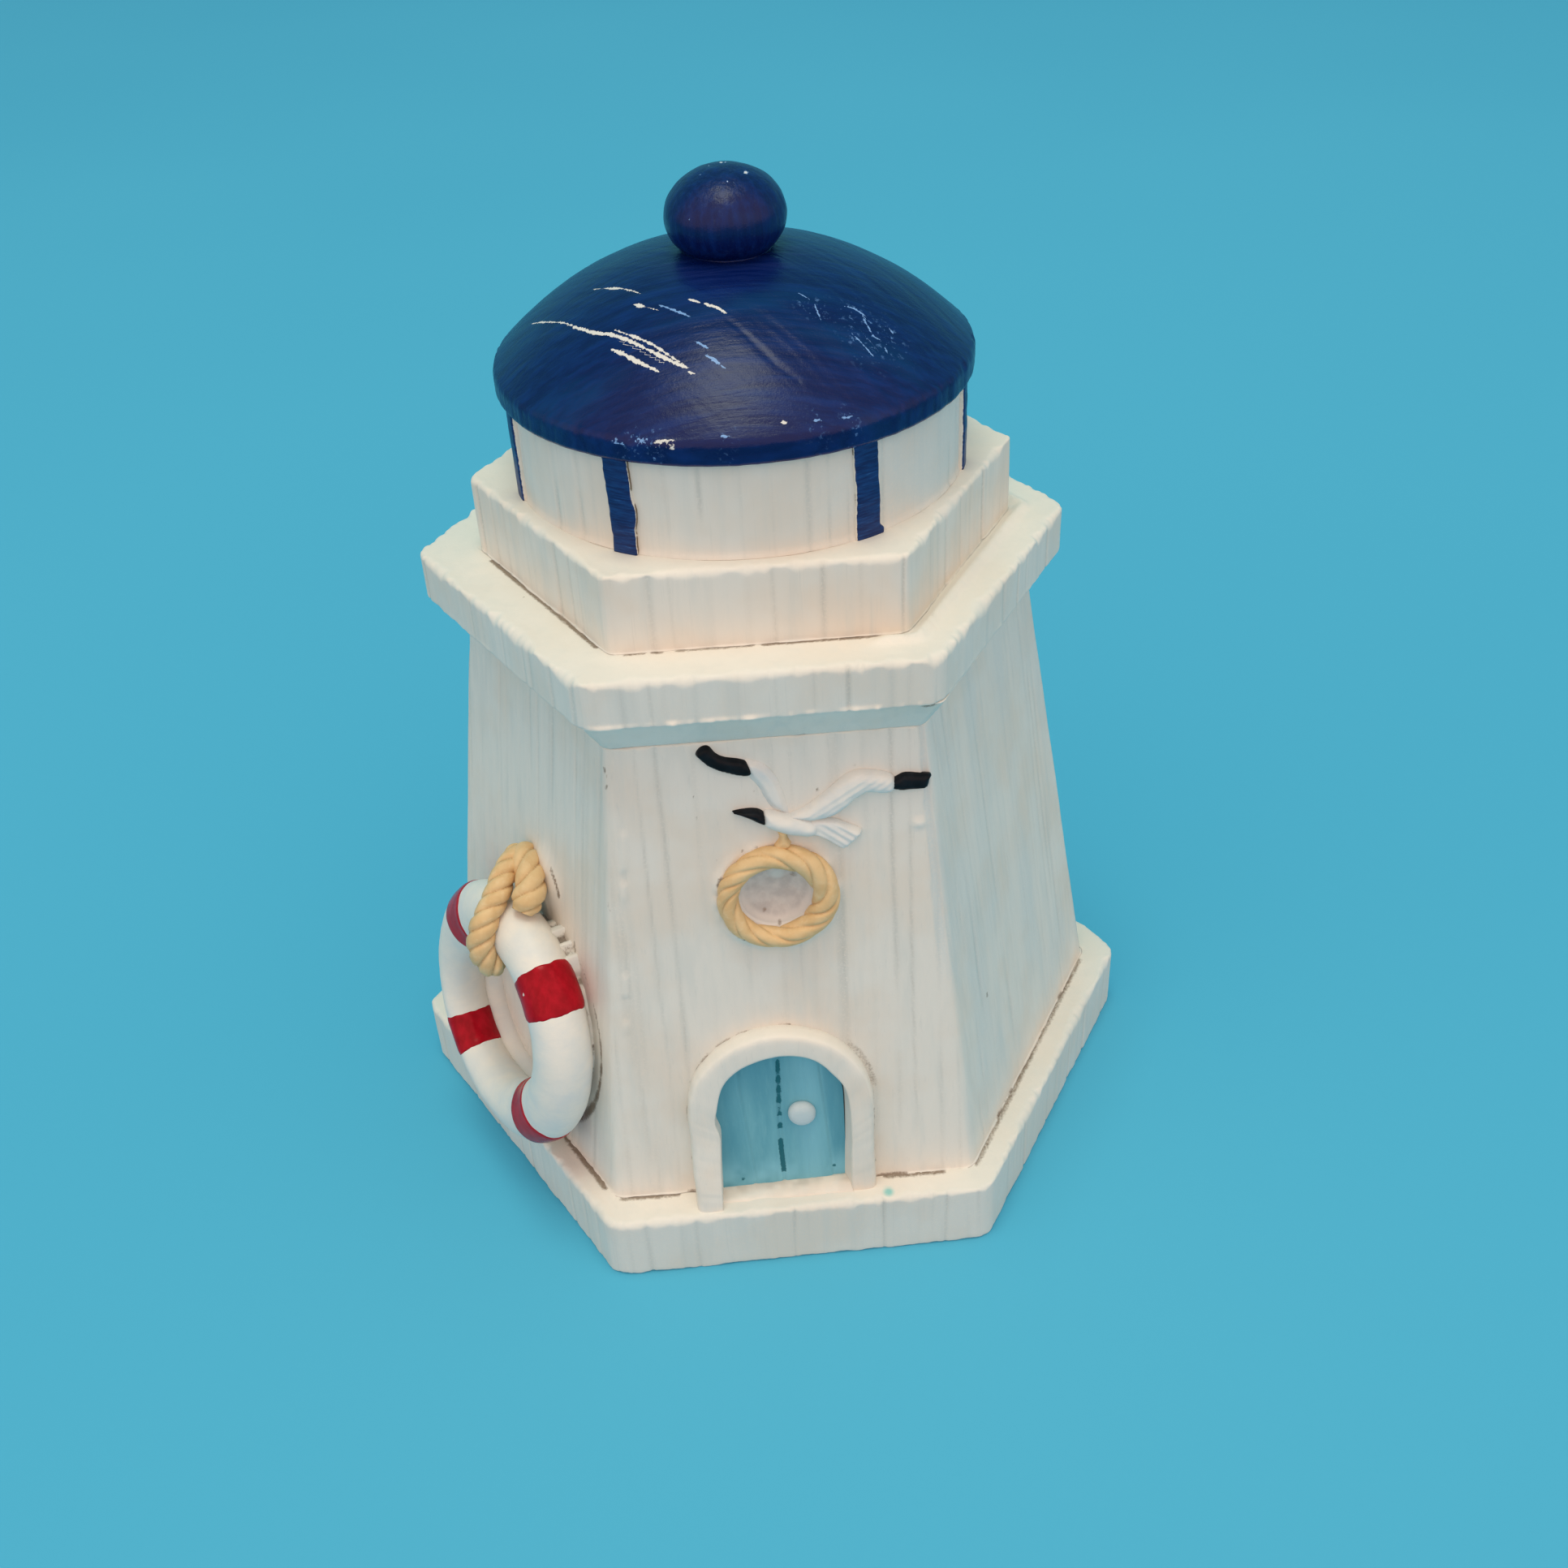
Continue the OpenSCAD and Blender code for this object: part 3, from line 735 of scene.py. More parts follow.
def white_paint(name, base, cool):
    """Smooth thick white paint of the gull, the knob and the life ring."""
    n = Nodes(name)
    soft = n.noise(0.45, detail=3)
    brushed = n.noise(1.8, n.stretched((0.4, 0.4, 1.6), (0, 0.5, 0)), 4, 0.6)
    fine = n.noise(6.0, detail=4, rough=0.65)
    color = n.mix(n.ramp(soft, 0.35, 0.7), base, cool)
    color = n.over(color, [c * 0.93 for c in cool], n.ramp(brushed, 0.5, 0.75), 0.3)
    broken = n.broken("wash", fine, 0.8)
    color = n.over(color, PAINT_WASH, n.ramp(broken, 0.35, 0.85), 0.8)
    color = n.mix(n.mark("smear"), color, PAINT_SHADE)
    rough = n.math("ADD", n.math("MULTIPLY", fine, 0.2), 0.38)
    bumps = n.bump(soft, 0.25, 0.00018)
    bumps = n.bump(brushed, 0.22, 0.00006, bumps)
    bumps = n.bump(fine, 0.2, 0.00004, bumps)
    return n.finish(color, rough, bumps, Specular_IOR_Level=0.35)


def rope_paint(name):
    """Tan painted rope, with painted shade between its strands and a few brown flecks."""
    n = Nodes(name)
    soft = n.noise(0.7, detail=3)
    brushed = n.noise(2.2, n.stretched((0.7, 0.7, 1.0)), 4, 0.65)
    fine = n.noise(6.0, detail=4, rough=0.65)
    color = n.mix(n.ramp(soft, 0.35, 0.7), (0.77, 0.53, 0.27), (0.69, 0.445, 0.205))
    color = n.over(color, (0.83, 0.64, 0.39), n.ramp(brushed, 0.5, 0.75), 0.4)
    # Painted shade between the strands
    deep = n.broken("groove", fine, 0.35)
    color = n.over(color, (0.42, 0.25, 0.10), n.ramp(deep, 0.40, 1.0), 0.62)
    flecks = n.math("MULTIPLY", n.ramp(fine, 0.60, 0.70), n.mark("wash"))
    color = n.over(color, ROPE_WASH, flecks, 0.85)
    rough = n.math("ADD", n.math("MULTIPLY", fine, 0.2), 0.36)
    bumps = n.bump(brushed, 0.3, 0.00007)
    bumps = n.bump(fine, 0.2, 0.00004, bumps)
    return n.finish(color, rough, bumps, Specular_IOR_Level=0.35)


def teal_door(name):
    """Thin teal paint on the plank door, dark in the middle seam."""
    n = Nodes(name)
    broad = n.noise(0.7, n.stretched((1, 1, 0.10)), 4, 0.6)
    thin = n.noise(2.6, n.stretched((1, 1, 0.08)), 3, 0.6)
    fine = n.noise(5.0, detail=4, rough=0.7)
    color = n.mix(n.ramp(broad, 0.3, 0.7), (0.115, 0.345, 0.43), (0.165, 0.425, 0.50))
    color = n.over(color, (0.23, 0.50, 0.56), n.ramp(thin, 0.52, 0.72), 0.25)
    # Painted shade under the arch, on the left side and at the right edge, and a painted shadow round
    # the knob
    color = n.over(color, (0.060, 0.270, 0.38), n.mark("shade"), 0.50)
    color = n.over(color, (0.235, 0.54, 0.64), n.mark("pale"), 0.7)
    seam = n.broken("seam", fine, 0.8)
    color = n.over(color, (0.004, 0.115, 0.150), n.ramp(seam, 0.40, 0.7), 0.92)
    rough = n.math("ADD", n.math("MULTIPLY", fine, 0.25), 0.42)
    bumps = n.bump(broad, 0.35, 0.00010)
    bumps = n.bump(fine, 0.2, 0.00004, bumps)
    return n.finish(color, rough, bumps, Specular_IOR_Level=0.25)


def dish_paint(name):
    """White paint of the porthole's hollow, with a grey-pink wash in its middle, a painted highlight on
    its lump and painted light on the lower part of its rim.
    """
    n = Nodes(name)
    soft = n.noise(0.8, detail=4, rough=0.6)
    fine = n.noise(5.0, detail=4, rough=0.7)
    color = n.mix(n.ramp(soft, 0.35, 0.65), (0.66, 0.64, 0.61), (0.53, 0.51, 0.49))
    # Painted highlight on the lump in the hollow
    color = n.over(color, (0.66, 0.70, 0.68), n.mark("facet_highlight"), 0.8)
    # Painted light on the lower part of the hollow's rim
    color = n.over(color, (0.76, 0.72, 0.68), n.mark("rim"), 0.9)
    deep = n.broken("wash", fine, 0.7)
    color = n.over(color, DISH_WASH, n.ramp(deep, 0.35, 0.9), 0.75)
    bumps = n.bump(soft, 0.3, 0.00015)
    bumps = n.bump(fine, 0.15, 0.00004, bumps)
    return n.finish(color, 0.42, bumps, Specular_IOR_Level=0.35)


MATERIALS = {
    "whitewash": whitewash("whitewash", (0.80, 0.75, 0.67), (0.65, 0.65, 0.60), 0.42),
    "navy_roof": navy_enamel("navy_enamel_roof", 0.19, 45, (0.09, 1.0, 0.5)),
    "navy_ball": navy_enamel("navy_enamel_ball", 0.20, 0, (1.3, 1.3, 0.10)),
    "mullion": mullion_paint("mullion_paint"),
    "red": gloss_paint(
        "gloss_red", (0.31, 0.002, 0.008), (0.47, 0.005, 0.016), 0.16, (1, 1, 0.4), 0.00003,
    ),
    "black": gloss_paint("gloss_black", (0.003, 0.004, 0.006), (0.008, 0.010, 0.014), 0.32, (1, 1, 1)),
    "white": white_paint("white_paint", (0.80, 0.77, 0.71), (0.70, 0.71, 0.69)),
    "ring": white_paint("ring_paint", (0.82, 0.77, 0.69), (0.74, 0.73, 0.69)),
    "knob": white_paint("knob_paint", (0.56, 0.64, 0.66), (0.50, 0.60, 0.62)),
    "rope": rope_paint("rope_paint"),
    "teal": teal_door("teal_door"),
    "dish": dish_paint("dish_paint"),
}

# ---------------------------------------------------------------- stacked castings


def hex_distance(xy, r, shift):
    """Distance from points to a hexagon's outline, positive outside."""
    corners = [
        (
            r * math.cos(math.radians(60 * i)) + shift[i][0],
            r * math.sin(math.radians(60 * i)) + shift[i][1],
        )
        for i in range(6)
    ]
    away = distance_to_line(xy[:, 0], xy[:, 1], corners, closed=True)
    return np.where(inside(xy[:, 0], xy[:, 1], corners), -away, away)


def line_mark(u, v, line, width, strength):
    """A painted line of the given width along a route, from 0 to its strength."""
    return strength * np.exp(-((distance_to_line(u, v, line) / width) ** 2))


def plan_line(r, shift, side, start, end, away=0.0):
    """Two points in plan on one side of a hexagon, start and end measured from its middle."""
    a = math.radians(60 * side)
    b = math.radians(60 * side + 60)
    here = np.array([r * math.cos(a), r * math.sin(a)]) + np.array(shift[side])
    there = np.array([r * math.cos(b), r * math.sin(b)]) + np.array(shift[(side + 1) % 6])
    run = (there - here) / np.linalg.norm(there - here)
    middle = (here + there) / 2 + np.array([run[1], -run[0]]) * away
    return [tuple(middle + run * start), tuple(middle + run * end)]


def crease_at(r, shift, seed, strength, lines=(), brush=0.25, width=0.10, sink=0.06):
    """Crease on a slab's top along the foot of the casting that stands on it.

    lines are (side, start, end, strength) for brown lines of the brush's width in the crease.
    """

    def crease(xy):
        away = np.abs(hex_distance(xy, r, shift))
        near = np.exp(-((away / width) ** 2))
        gate = fbm(xy[:, 0] / 2.6, xy[:, 1] / 2.6, seed, 3, seed)
        brown = strength * near * smooth(gate, 0.0, 0.4)
        for side, start, end, amount in lines:
            route = plan_line(r, shift, side, start, end, 0.22)
            brown = np.maximum(brown, line_mark(xy[:, 0], xy[:, 1], route, brush, amount))
        return sink * near, brown

    return crease


def build_plinth():
    """Six-sided base slab, with brown wash in the crease at the tower's foot."""
    steps = dense_steps(1 - TOWER_R / PLINTH_R, 0.018, 0.0018, 0.16)
    crease = crease_at(
        TOWER_R, EVEN, 21, 0.9,
        [
            (4, -14, -9.5, 0.8), (4, 7.4, 12, 0.9), (3, -13, -9, 0.7), (3, -6, 13, 1.0),
            (5, -14, 13, 0.75),
        ],
        brush=0.36,
    )

    def lip(sides, along, level):
        drip = np.clip(noise(along / 0.9, sides * 4.1, 0.0, 22), 0, 1)
        return 0.05 * drip, np.zeros(len(along)), np.full(len(along), 0.5), np.zeros(len(along))

    piece = hex_casting(
        "plinth_casting", "plinth", 0.0, PLINTH_TOP, PLINTH_R, PLINTH_R, PLINTH_SHIFT,
        PLINTH_ROUND, seed=1, pitch=1.9, deepest=0.20, edge=0.55, spacing=0.16, rows=22,
        steps=steps, top_creases=crease, extra=lip, lump=0.07,
    )
    add_spot(piece.data, "teal", (7.4, -26.9, PLINTH_TOP), 0.55)


def add_spot(mesh, key, place, size):
    """A small spot of paint on a mesh, as an attribute that fades over its size in mm."""
    count = len(mesh.vertices)
    co = np.empty(count * 3, np.float32)
    mesh.vertices.foreach_get("co", co)
    gap = np.linalg.norm(co.reshape(-1, 3) / MM - np.array(place), axis=1)
    layer = mesh.attributes.new(key, "FLOAT", "POINT")
    layer.data.foreach_set("value", np.clip(1.6 * (1 - gap / size), 0, 1).astype(np.float32))


# Small brown nicks on the front wall: right, up and size
NICKS = [
    (6.15, 37.35, 0.13), (3.45, 35.7, 0.18), (2.05, 34.65, 0.12), (-1.0, 36.0, 0.12),
    (-5.4, 35.8, 0.13), (-5.3, 34.1, 0.16), (-1.2, 31.5, 0.17), (-2.2, 31.15, 0.17),
    (-4.1, 30.4, 0.13), (12.2, 29.4, 0.15), (-11.6, 38.2, 0.2), (-11.6, 37.7, 0.2),
]


def ring_gap(u, v):
    """How far a left wall point is beyond the middle of the ring's tube, and its angle."""
    du, dv = u - RING_SIDE, v - RING_UP
    around = np.arctan2(dv, du)
    return np.hypot(du, dv) - ring_outline(around), around


def ring_outline(around):
    """The hand-made ring is a little oval."""
    return RING_R + 0.48 * np.sin(2 * around)


# Depths cut into the front wall: behind the porthole, behind the door and at its right edge
DISH_RECESS = 1.9
DOOR_RECESS = 0.7
EDGE_STEP = 0.16
# Thickness of the paint that swells round the wreath
PAD = 0.35


def front_features(u, v):
    """Recesses behind the porthole and door, edge step, nicks and wash of the front wall."""
    off = np.hypot(u - PORTHOLE[0], (v - PORTHOLE[1]) / WREATH_OVAL)
    push = -DISH_RECESS * (1 - smooth(off, DISH_R - 0.25, DISH_R))
    push = push - DOOR_RECESS * (1 - smooth(-opening_gap(u, v), -0.1, 0.4))
    smear = fbm(u / 1.6, v / 1.6, 2.0, 3, 41)
    from_surround = surround_gap(u, v)
    line = np.exp(-((from_surround / 0.22) ** 2)) * (v > 0.6)
    brown = 0.7 * line * smooth(smear, 0.05, 0.5)
    shoulder = np.exp(-(((from_surround - 0.3) / 0.4) ** 2)) * smooth(u, 3.2, 4.8)
    shoulder = shoulder * smooth(v, 8.0, 9.5) * (1 - smooth(v, 13.0, 14.5))
    brown = np.maximum(brown, 0.55 * shoulder)
    wreath_edge = np.abs(off - WREATH_R - WREATH_ROPE)
    outer = 0.8 * np.exp(-((wreath_edge / 0.22) ** 2)) * smooth(smear, 0.0, 0.45)
    brown = np.maximum(brown, outer * smooth(-u + 0.3 * v, 6.5, 8.5))
    for nu, nv, size in NICKS:
        gap = np.hypot(u - nu, (v - nv) / 1.3)
        brown = np.maximum(brown, 0.8 * np.exp(-((gap / size) ** 2)))
    edge = 10.85 + (38.9 - v) * 0.055 + 0.14 * fbm(v / 1.6, 0.3 + 0 * v, 0.0, 3, 43)
    step = smooth(u, edge - 0.06, edge + 0.06) * smooth(v, 16, 23)
    push = push - EDGE_STEP * step
    pads = PAD * np.exp(-((wreath_edge / 0.35) ** 2))
    push = push + pads * smooth(smear, -0.4, 0.4)
    nib = np.exp(-(np.hypot((u - 10.7) / 0.5, (v - 32.3) / 0.28) ** 2))
    corner = 14.45 - 0.0836 * v
    bead = np.exp(-(((u + corner - 1.0) / 0.28) ** 2)) * smooth(noise(v / 1.1, 0.7, 0.0, 48), -0.1, 0.4)
    bead = bead * smooth(v, 14, 18) * (1 - smooth(v, 33, 35))
    pale = np.maximum(np.maximum(nib, pads * 1.5), 0.6 * bead)
    return push + 0.25 * nib + 0.14 * bead, brown, 0.85 * step + 0.12, pale


# Painted shadow along the rope's knot on the left wall, and two brown nicks at its front corner, each
# a top, a foot and a strength
ROPE_SHADOW = [(3.3, 25.6), (4.1, 24.8), (4.6, 23.4), (5.1, 22.2), (6.1, 21.2), (7.0, 20.0)]
CORNER_NICKS = [((11.1, 38.5), (11.25, 36.9), 0.76), ((12.0, 27.6), (12.15, 26.0), 0.48)]


def left_features(u, v):
    """Painted shadow of the life ring along its right side, painted shade in its hole, the rope's
    painted shadow, nicks at the front corner, and the thick paint under its rope.
    """
    gap, around = ring_gap(u, v)
    smear = fbm(u / 1.6, v / 1.6, 2.0, 3, 41)
    # Painted shadow of the ring on the wall along its right side, wider and darker at its lower right
    right_side = smooth(u, 3.0, 7.0)
    lower_right_shadow = np.exp(-(((around + 0.75) / 0.55) ** 2))
    line = np.exp(-(((gap - 1.45 - 0.25 * lower_right_shadow) / (0.20 + 0.30 * lower_right_shadow)) ** 2))
    brown = line * right_side * np.clip(0.45 + 0.8 * smear + 0.55 * lower_right_shadow, 0, 1)
    shaky = u + 0.35 * noise(v / 0.8, 0.4, 0.0, 45)
    # Painted shadow along the rope's knot
    rope_edge = line_mark(shaky, v, ROPE_SHADOW, 0.2, 0.9)
    brown = np.maximum(brown, rope_edge * smooth(smear, -0.4, 0.2))
    for top, foot, amount in CORNER_NICKS:
        brown = np.maximum(brown, line_mark(shaky, v, [top, foot], 0.17, amount))
    # Painted shade on the wall inside the ring's hole
    hole = smooth(-gap, 0.2, 2.2)
    brown = np.maximum(brown, hole * 0.42 * smooth(smear, -0.3, 0.5))
    pad = np.exp(-((np.hypot((u - 2.2) / 2.2, (v - 24.0) / 2.4)) ** 4))
    return 0.45 * pad, brown, np.full(np.shape(u), 0.1) * (1 - pad), pad


def tower_features(sides, along, level):
    """Relief and paint of all six tower walls, for hex_casting."""
    v = (level - PLINTH_TOP) / math.cos(LEAN)
    push, brown, cool, pale = (np.zeros(len(along)) for _ in range(4))
    for side, features in ((FRONT_SIDE, front_features), (LEFT_SIDE, left_features)):
        mine = sides == side
        found = features(along[mine], v[mine])
        for total, part in zip((push, brown, cool, pale), found):
            total[mine] = part
    other = ~np.isin(sides, [FRONT_SIDE, LEFT_SIDE])
    cool[other] = 0.55 * smooth(fbm(along / 3.0, v / 12.0, sides * 2.2, 2, 44), -0.5, 0.5)[other]
    return push, brown, cool, pale


def build_tower():
    hex_casting(
        "tower_casting", "tower_body", PLINTH_TOP, TOWER_TOP, TOWER_R, TOWER_TOP_R, EVEN,
        TOWER_ROUND, seed=2, pitch=1.25, deepest=0.12, edge=0.2, spacing=0.24, rows=140,
        foot_edge=-0.14, foot_wash=0.9, extra=tower_features,
    )


def build_moulding():
    """Flared course between the tower and the gallery."""
    def cold(sides, along, level):
        t = (level - TOWER_TOP) / (GALLERY_FOOT - TOWER_TOP)
        end = np.where(sides == FRONT_SIDE, np.exp(-(((along - 11.2) / 0.7) ** 2)), 0)
        brown = 0.9 * end * smooth(t, 0.75, 0.95)
        return np.zeros(len(along)), brown, np.full(len(along), 0.1), np.zeros(len(along))

    hex_casting(
        "bed_moulding_casting", "bed_moulding", TOWER_TOP, GALLERY_FOOT, TOWER_TOP_R,
        MOULDING_TOP_R, EVEN, MOULDING_ROUND, seed=3, pitch=2.6, deepest=0.06, edge=0.15,
        spacing=0.22, rows=14, foot_edge=0.12, foot_wash=0.6, extra=cold,
    )


def build_gallery():
    """Overhanging slab, torn along the front's lower edge, with wash at the tier's foot."""
    steps = dense_steps(1 - TIER_R / GALLERY_R, 0.02, 0.0024, 0.25)
    crease = crease_at(
        TIER_R, TIER_SHIFT, 24, 0.25,
        [
            (4, 0.3, 9.3, 1.0), (4, -5.6, -0.4, 0.75), (4, -9.2, -7.9, 0.8), (4, -7.3, -6.7, 0.9),
            (3, -7.5, 8.6, 1.0),
        ],
    )

    def creases(xy):
        sink, brown = crease(xy)
        away = hex_distance(xy, TIER_R, TIER_SHIFT)
        right = smooth(xy[:, 0] * 0.86 - xy[:, 1] * 0.5, 15.5, 17.0)
        ridge = 0.42 * np.exp(-(((away - 0.95) / 0.42) ** 2)) * right
        return sink - ridge, brown * (1 - right)

    def lip(sides, along, level):
        near = np.exp(-(((level - GALLERY_FOOT - 0.22) / 0.16) ** 2))
        torn = fbm(along / 1.5, sides * 3.3, 0.0, 3, 46) + 0.35 * noise(along / 0.4, sides, 2.0, 47)
        torn = np.clip(torn + 0.12, 0, 1) * np.where(sides == FRONT_SIDE, 1.0, 0.15)
        lit = np.clip(2.2 * near * torn, 0, 1)
        return 0.30 * near * torn, np.zeros(len(along)), 0.25 * (1 - lit), lit

    hex_casting(
        "gallery_casting", "gallery_slab", GALLERY_FOOT, TIER_FOOT, GALLERY_R, GALLERY_R,
        GALLERY_SHIFT, GALLERY_ROUND, seed=4, pitch=2.1, deepest=0.20, edge=0.6, spacing=0.15,
        rows=26, steps=steps, top_creases=creases, extra=lip, foot_edge=0.2,
    )


def build_tier():
    """Small six-sided slab under the drum, with a broken line at the drum's foot."""
    steps = dense_steps(0.135, 0.085, 0.0036, 0.26)

    def drum_crease(xy):
        away = np.abs(np.hypot(xy[:, 0], xy[:, 1]) - DRUM_R)
        near = np.exp(-((away / 0.09) ** 2))
        turn = np.arctan2(xy[:, 1], xy[:, 0])
        dash = smooth(np.sin(turn * DRUM_R * 3.9 + 2 * noise(turn * 7, 0.3, 0.0, 27)), -0.1, 0.5)
        gate = fbm(xy[:, 0] / 2.5, xy[:, 1] / 2.5, 3, 3, 26)
        return 0.02 * near, 0.55 * near * dash * smooth(gate, -0.05, 0.25)

    hex_casting(
        "tier_casting", "upper_tier", TIER_FOOT, DRUM_FOOT, TIER_R, TIER_R, TIER_SHIFT,
        TIER_ROUND, seed=5, pitch=2.2, deepest=0.18, edge=0.5, spacing=0.14, rows=26,
        steps=steps, top_creases=drum_crease, foot_edge=-0.12,
    )


def build_drum():
    """Round lantern wall with upright grooves of uneven depth and spacing."""
    count, rows = 760, 34
    turn = np.linspace(0, 2 * np.pi, count, endpoint=False)
    rng = np.random.RandomState(7)
    cut = np.zeros(count)
    at = 0.0
    while at < 2 * np.pi:
        width = rng.uniform(0.09, 0.22) / DRUM_R
        gap = np.angle(np.exp(1j * (turn - at)))
        cut += 0.13 * rng.uniform(0.1, 1) ** 1.5 * np.exp(-((gap / width) ** 2))
        at += rng.uniform(1.2, 3.2) / DRUM_R
    rings, grooves, cool = [], [], []
    # the second ring is close to the first, so that the foot's edge stays crisp
    for share in [0.0, 0.002] + [k / rows for k in range(1, rows)] + [1.0]:
        z = DRUM_FOOT + (ROOF_FOOT - DRUM_FOOT) * share
        fade = 0.4 + 0.6 * noise(np.cos(turn) * 9, np.sin(turn) * 9, z / 3, 8)
        push = 0.05 * fbm(np.cos(turn) * 4, np.sin(turn) * 4, z / 5, 2, 9)
        depth = cut * np.clip(fade, 0, 1)
        flare = 0.14 * math.exp(-(((z - DRUM_FOOT) / 0.22) ** 2))
        r = DRUM_R + push - depth + flare
        rings.append(np.column_stack([r * np.cos(turn), r * np.sin(turn), np.full(count, z)]))
        grooves.append(np.clip(depth / 0.1, 0, 1))
        # Painted cool light on the drum's right side
        cool.append(0.5 * smooth(np.cos(turn + 0.3), 0.3, 0.9) + 0.1)
    add_piece(
        "lantern_drum_casting", np.concatenate(rings), capped(rows + 2, count),
        MATERIALS["whitewash"], ["lantern_drum"],
        {"groove": np.concatenate(grooves), "cool": np.concatenate(cool)},
    )


def strip_edge(z, pace, seed, row, noise_seed):
    """Half width of a mullion on one side at a height, uneven along it."""
    slow = 0.05 * float(noise(z / pace, seed, row, noise_seed))
    fast = 0.03 * float(noise(z / 0.3, seed, row + 1.0, noise_seed + 1))
    return 0.93 + slow + fast


def build_mullion(node, at, seed):
    """One raised navy strip with uneven, unpainted edges."""
    rows = 70
    shape = [
        (-1.0, -0.10), (-1.0, 0.0), (-0.995, 0.16), (-0.97, 0.29), (-0.90, 0.35), (-0.75, 0.36),
        (-0.5, 0.37), (-0.25, 0.375), (0, 0.38), (0.25, 0.375), (0.5, 0.37), (0.75, 0.36),
        (0.90, 0.35), (0.97, 0.29), (0.995, 0.16), (1.0, 0.0), (1.0, -0.10),
    ]
    paint = [0, 0, 0.15, 0.6, 1, 1, 1, 1, 1, 1, 1, 1, 1, 0.6, 0.15, 0, 0]
    brown_left = 0.75 if node == "mullion_front_right" else 0.35
    brown_right = 0.85 if node == "mullion_front_left" else 0.3
    points, mark_paint, mark_wash = [], [], []
    for k in range(rows + 1):
        z = DRUM_FOOT + (ROOF_FOOT - DRUM_FOOT) * k / rows
        left = strip_edge(z, 0.9, seed, 0.2, 3)
        right = strip_edge(z, 0.8, seed, 5.2, 5)
        if node == "mullion_front_right":
            right += 0.35 * float(smooth(DRUM_FOOT + 0.8 - z, 0, 0.5))
        if node == "mullion_front_left":
            right += 0.14 * math.exp(-(((z - DRUM_FOOT - 3.2) / 0.9) ** 2))
        lean = 0.12 * float(noise(z / 6, seed, 9.0, 7))
        bump = 1 + 0.10 * float(noise(z / 0.9, seed, 3.3, 8))
        gate = float(smooth(noise(z / 1.3, seed, 7.7, 9), -0.35, 0.2))
        for (s, h), p in zip(shape, paint):
            across = lean + s * (left if s < 0 else right)
            a = math.radians(at) + across / DRUM_R
            r = DRUM_R + h * (bump if h > 0 else 1)
            points.append([r * math.cos(a), r * math.sin(a), z])
            mark_paint.append(p)
            brown = brown_left if s < 0 else brown_right
            mark_wash.append(brown * gate if h < 0.2 else 0.0)
    cols = len(shape)
    faces = grid_faces(rows + 1, cols, wrap=True)
    faces.append(list(range(cols - 1, -1, -1)))
    faces.append([rows * cols + j for j in range(cols)])
    add_piece(
        node + "_strip", points, faces, MATERIALS["mullion"], [node],
        {"paint": mark_paint, "wash": mark_wash},
    )


# Scratches on the roof down to the pale resin, each a half width and a line of points in plan.
# The three sets are painted apart so that lines lying side by side stay apart.
LONG_SCRATCHES = [
    (0.055, [(-14.2, -0.6), (-12.7, -2.8), (-11.6, -4.3), (-10.9, -5.4)]),
    (0.11, [(-10.9, -5.5), (-9.5, -7.2), (-8.2, -8.3), (-7.6, -8.9), (-6.6, -9.9), (-5.6, -10.9)]),
    (0.11, [(-5.9, -10.6), (-4.6, -11.8), (-3.4, -12.7)]),
    (0.15, [(-8.6, -2.76), (-7.6, -3.63)]),
    (0.065, [(-9.5, -1.96), (-8.6, -2.76), (-7.6, -3.63), (-6.2, -5.26)]),
    (0.13, [(-6.6, -6.35), (-6.0, -6.85)]),
    (0.05, [(-6.0, -6.85), (-5.05, -7.71)]),
    (0.11, [(-1.9, -8.09), (-1.28, -8.49), (-0.58, -9.15)]),
]
SHORT_SCRATCHES = [
    (0.075, [(-8.0, -8.0), (-6.8, -9.2), (-5.56, -10.38), (-4.39, -11.68), (-3.58, -12.49)]),
    (0.11, [(-8.28, -9.51), (-7.46, -10.37), (-6.66, -11.21), (-5.31, -12.39)]),
    (0.07, [(-3.3, -13.0), (-3.0, -13.15)]),
    (0.09, [(-2.9, -7.36), (-2.3, -7.85)]),
    (0.10, [(2.38, -16.36), (2.60, -16.34)]),
    (0.04, [(-5.0, -16.42), (-4.65, -16.5), (-4.5, -16.6), (-4.7, -16.7), (-4.95, -16.6)]),
    (0.03, [(-5.9, -16.2), (-5.5, -16.3), (-5.1, -16.35)]),
]
BLUE_SCRATCHES = [
    (0.07, [(-4.9, -7.3), (-4.0, -8.1), (-3.0, -9.0)]),
    (0.08, [(-2.7, -11.1), (-2.0, -11.7)]),
    (0.08, [(-2.1, -12.2), (-1.5, -12.7), (-1.0, -13.15)]),
    (0.06, [(4.4, -7.2), (5.0, -7.66)]),
    (0.05, [(5.35, -8.12), (5.45, -8.6), (5.65, -9.4)]),
    (0.07, [(7.4, -7.64), (8.1, -7.61), (8.8, -8.02)]),
    (0.06, [(8.55, -8.2), (9.1, -9.5), (9.45, -9.6)]),
    (0.05, [(7.63, -9.9), (8.2, -10.4), (8.85, -11.1)]),
    (0.06, [(9.8, -10.1), (9.9, -10.4)]),
    (0.05, [(10.3, -8.2), (10.5, -8.5)]),
    (0.04, [(-8.6, -15.0), (-7.9, -15.4)]),
    (0.04, [(-7.1, -15.7), (-6.2, -16.0)]),
    (0.05, [(-1.6, -16.9), (-1.0, -16.95)]),
    (0.03, [(4.3, -16.1), (4.9, -15.95)]),
    (0.03, [(6.3, -15.6), (7.2, -15.3)]),
]
# Faint rubbed patches, each a point in plan and a radius
RUBS = [
    (8.6, -8.8, 1.5), (8.4, -10.4, 1.3), (9.8, -9.2, 1.3), (5.2, -8.2, 1.0), (-7.3, -15.6, 0.7),
    (-6.0, -16.1, 0.6), (4.6, -16.1, 0.6), (6.9, -15.5, 0.6), (-1.2, -16.9, 0.5),
]


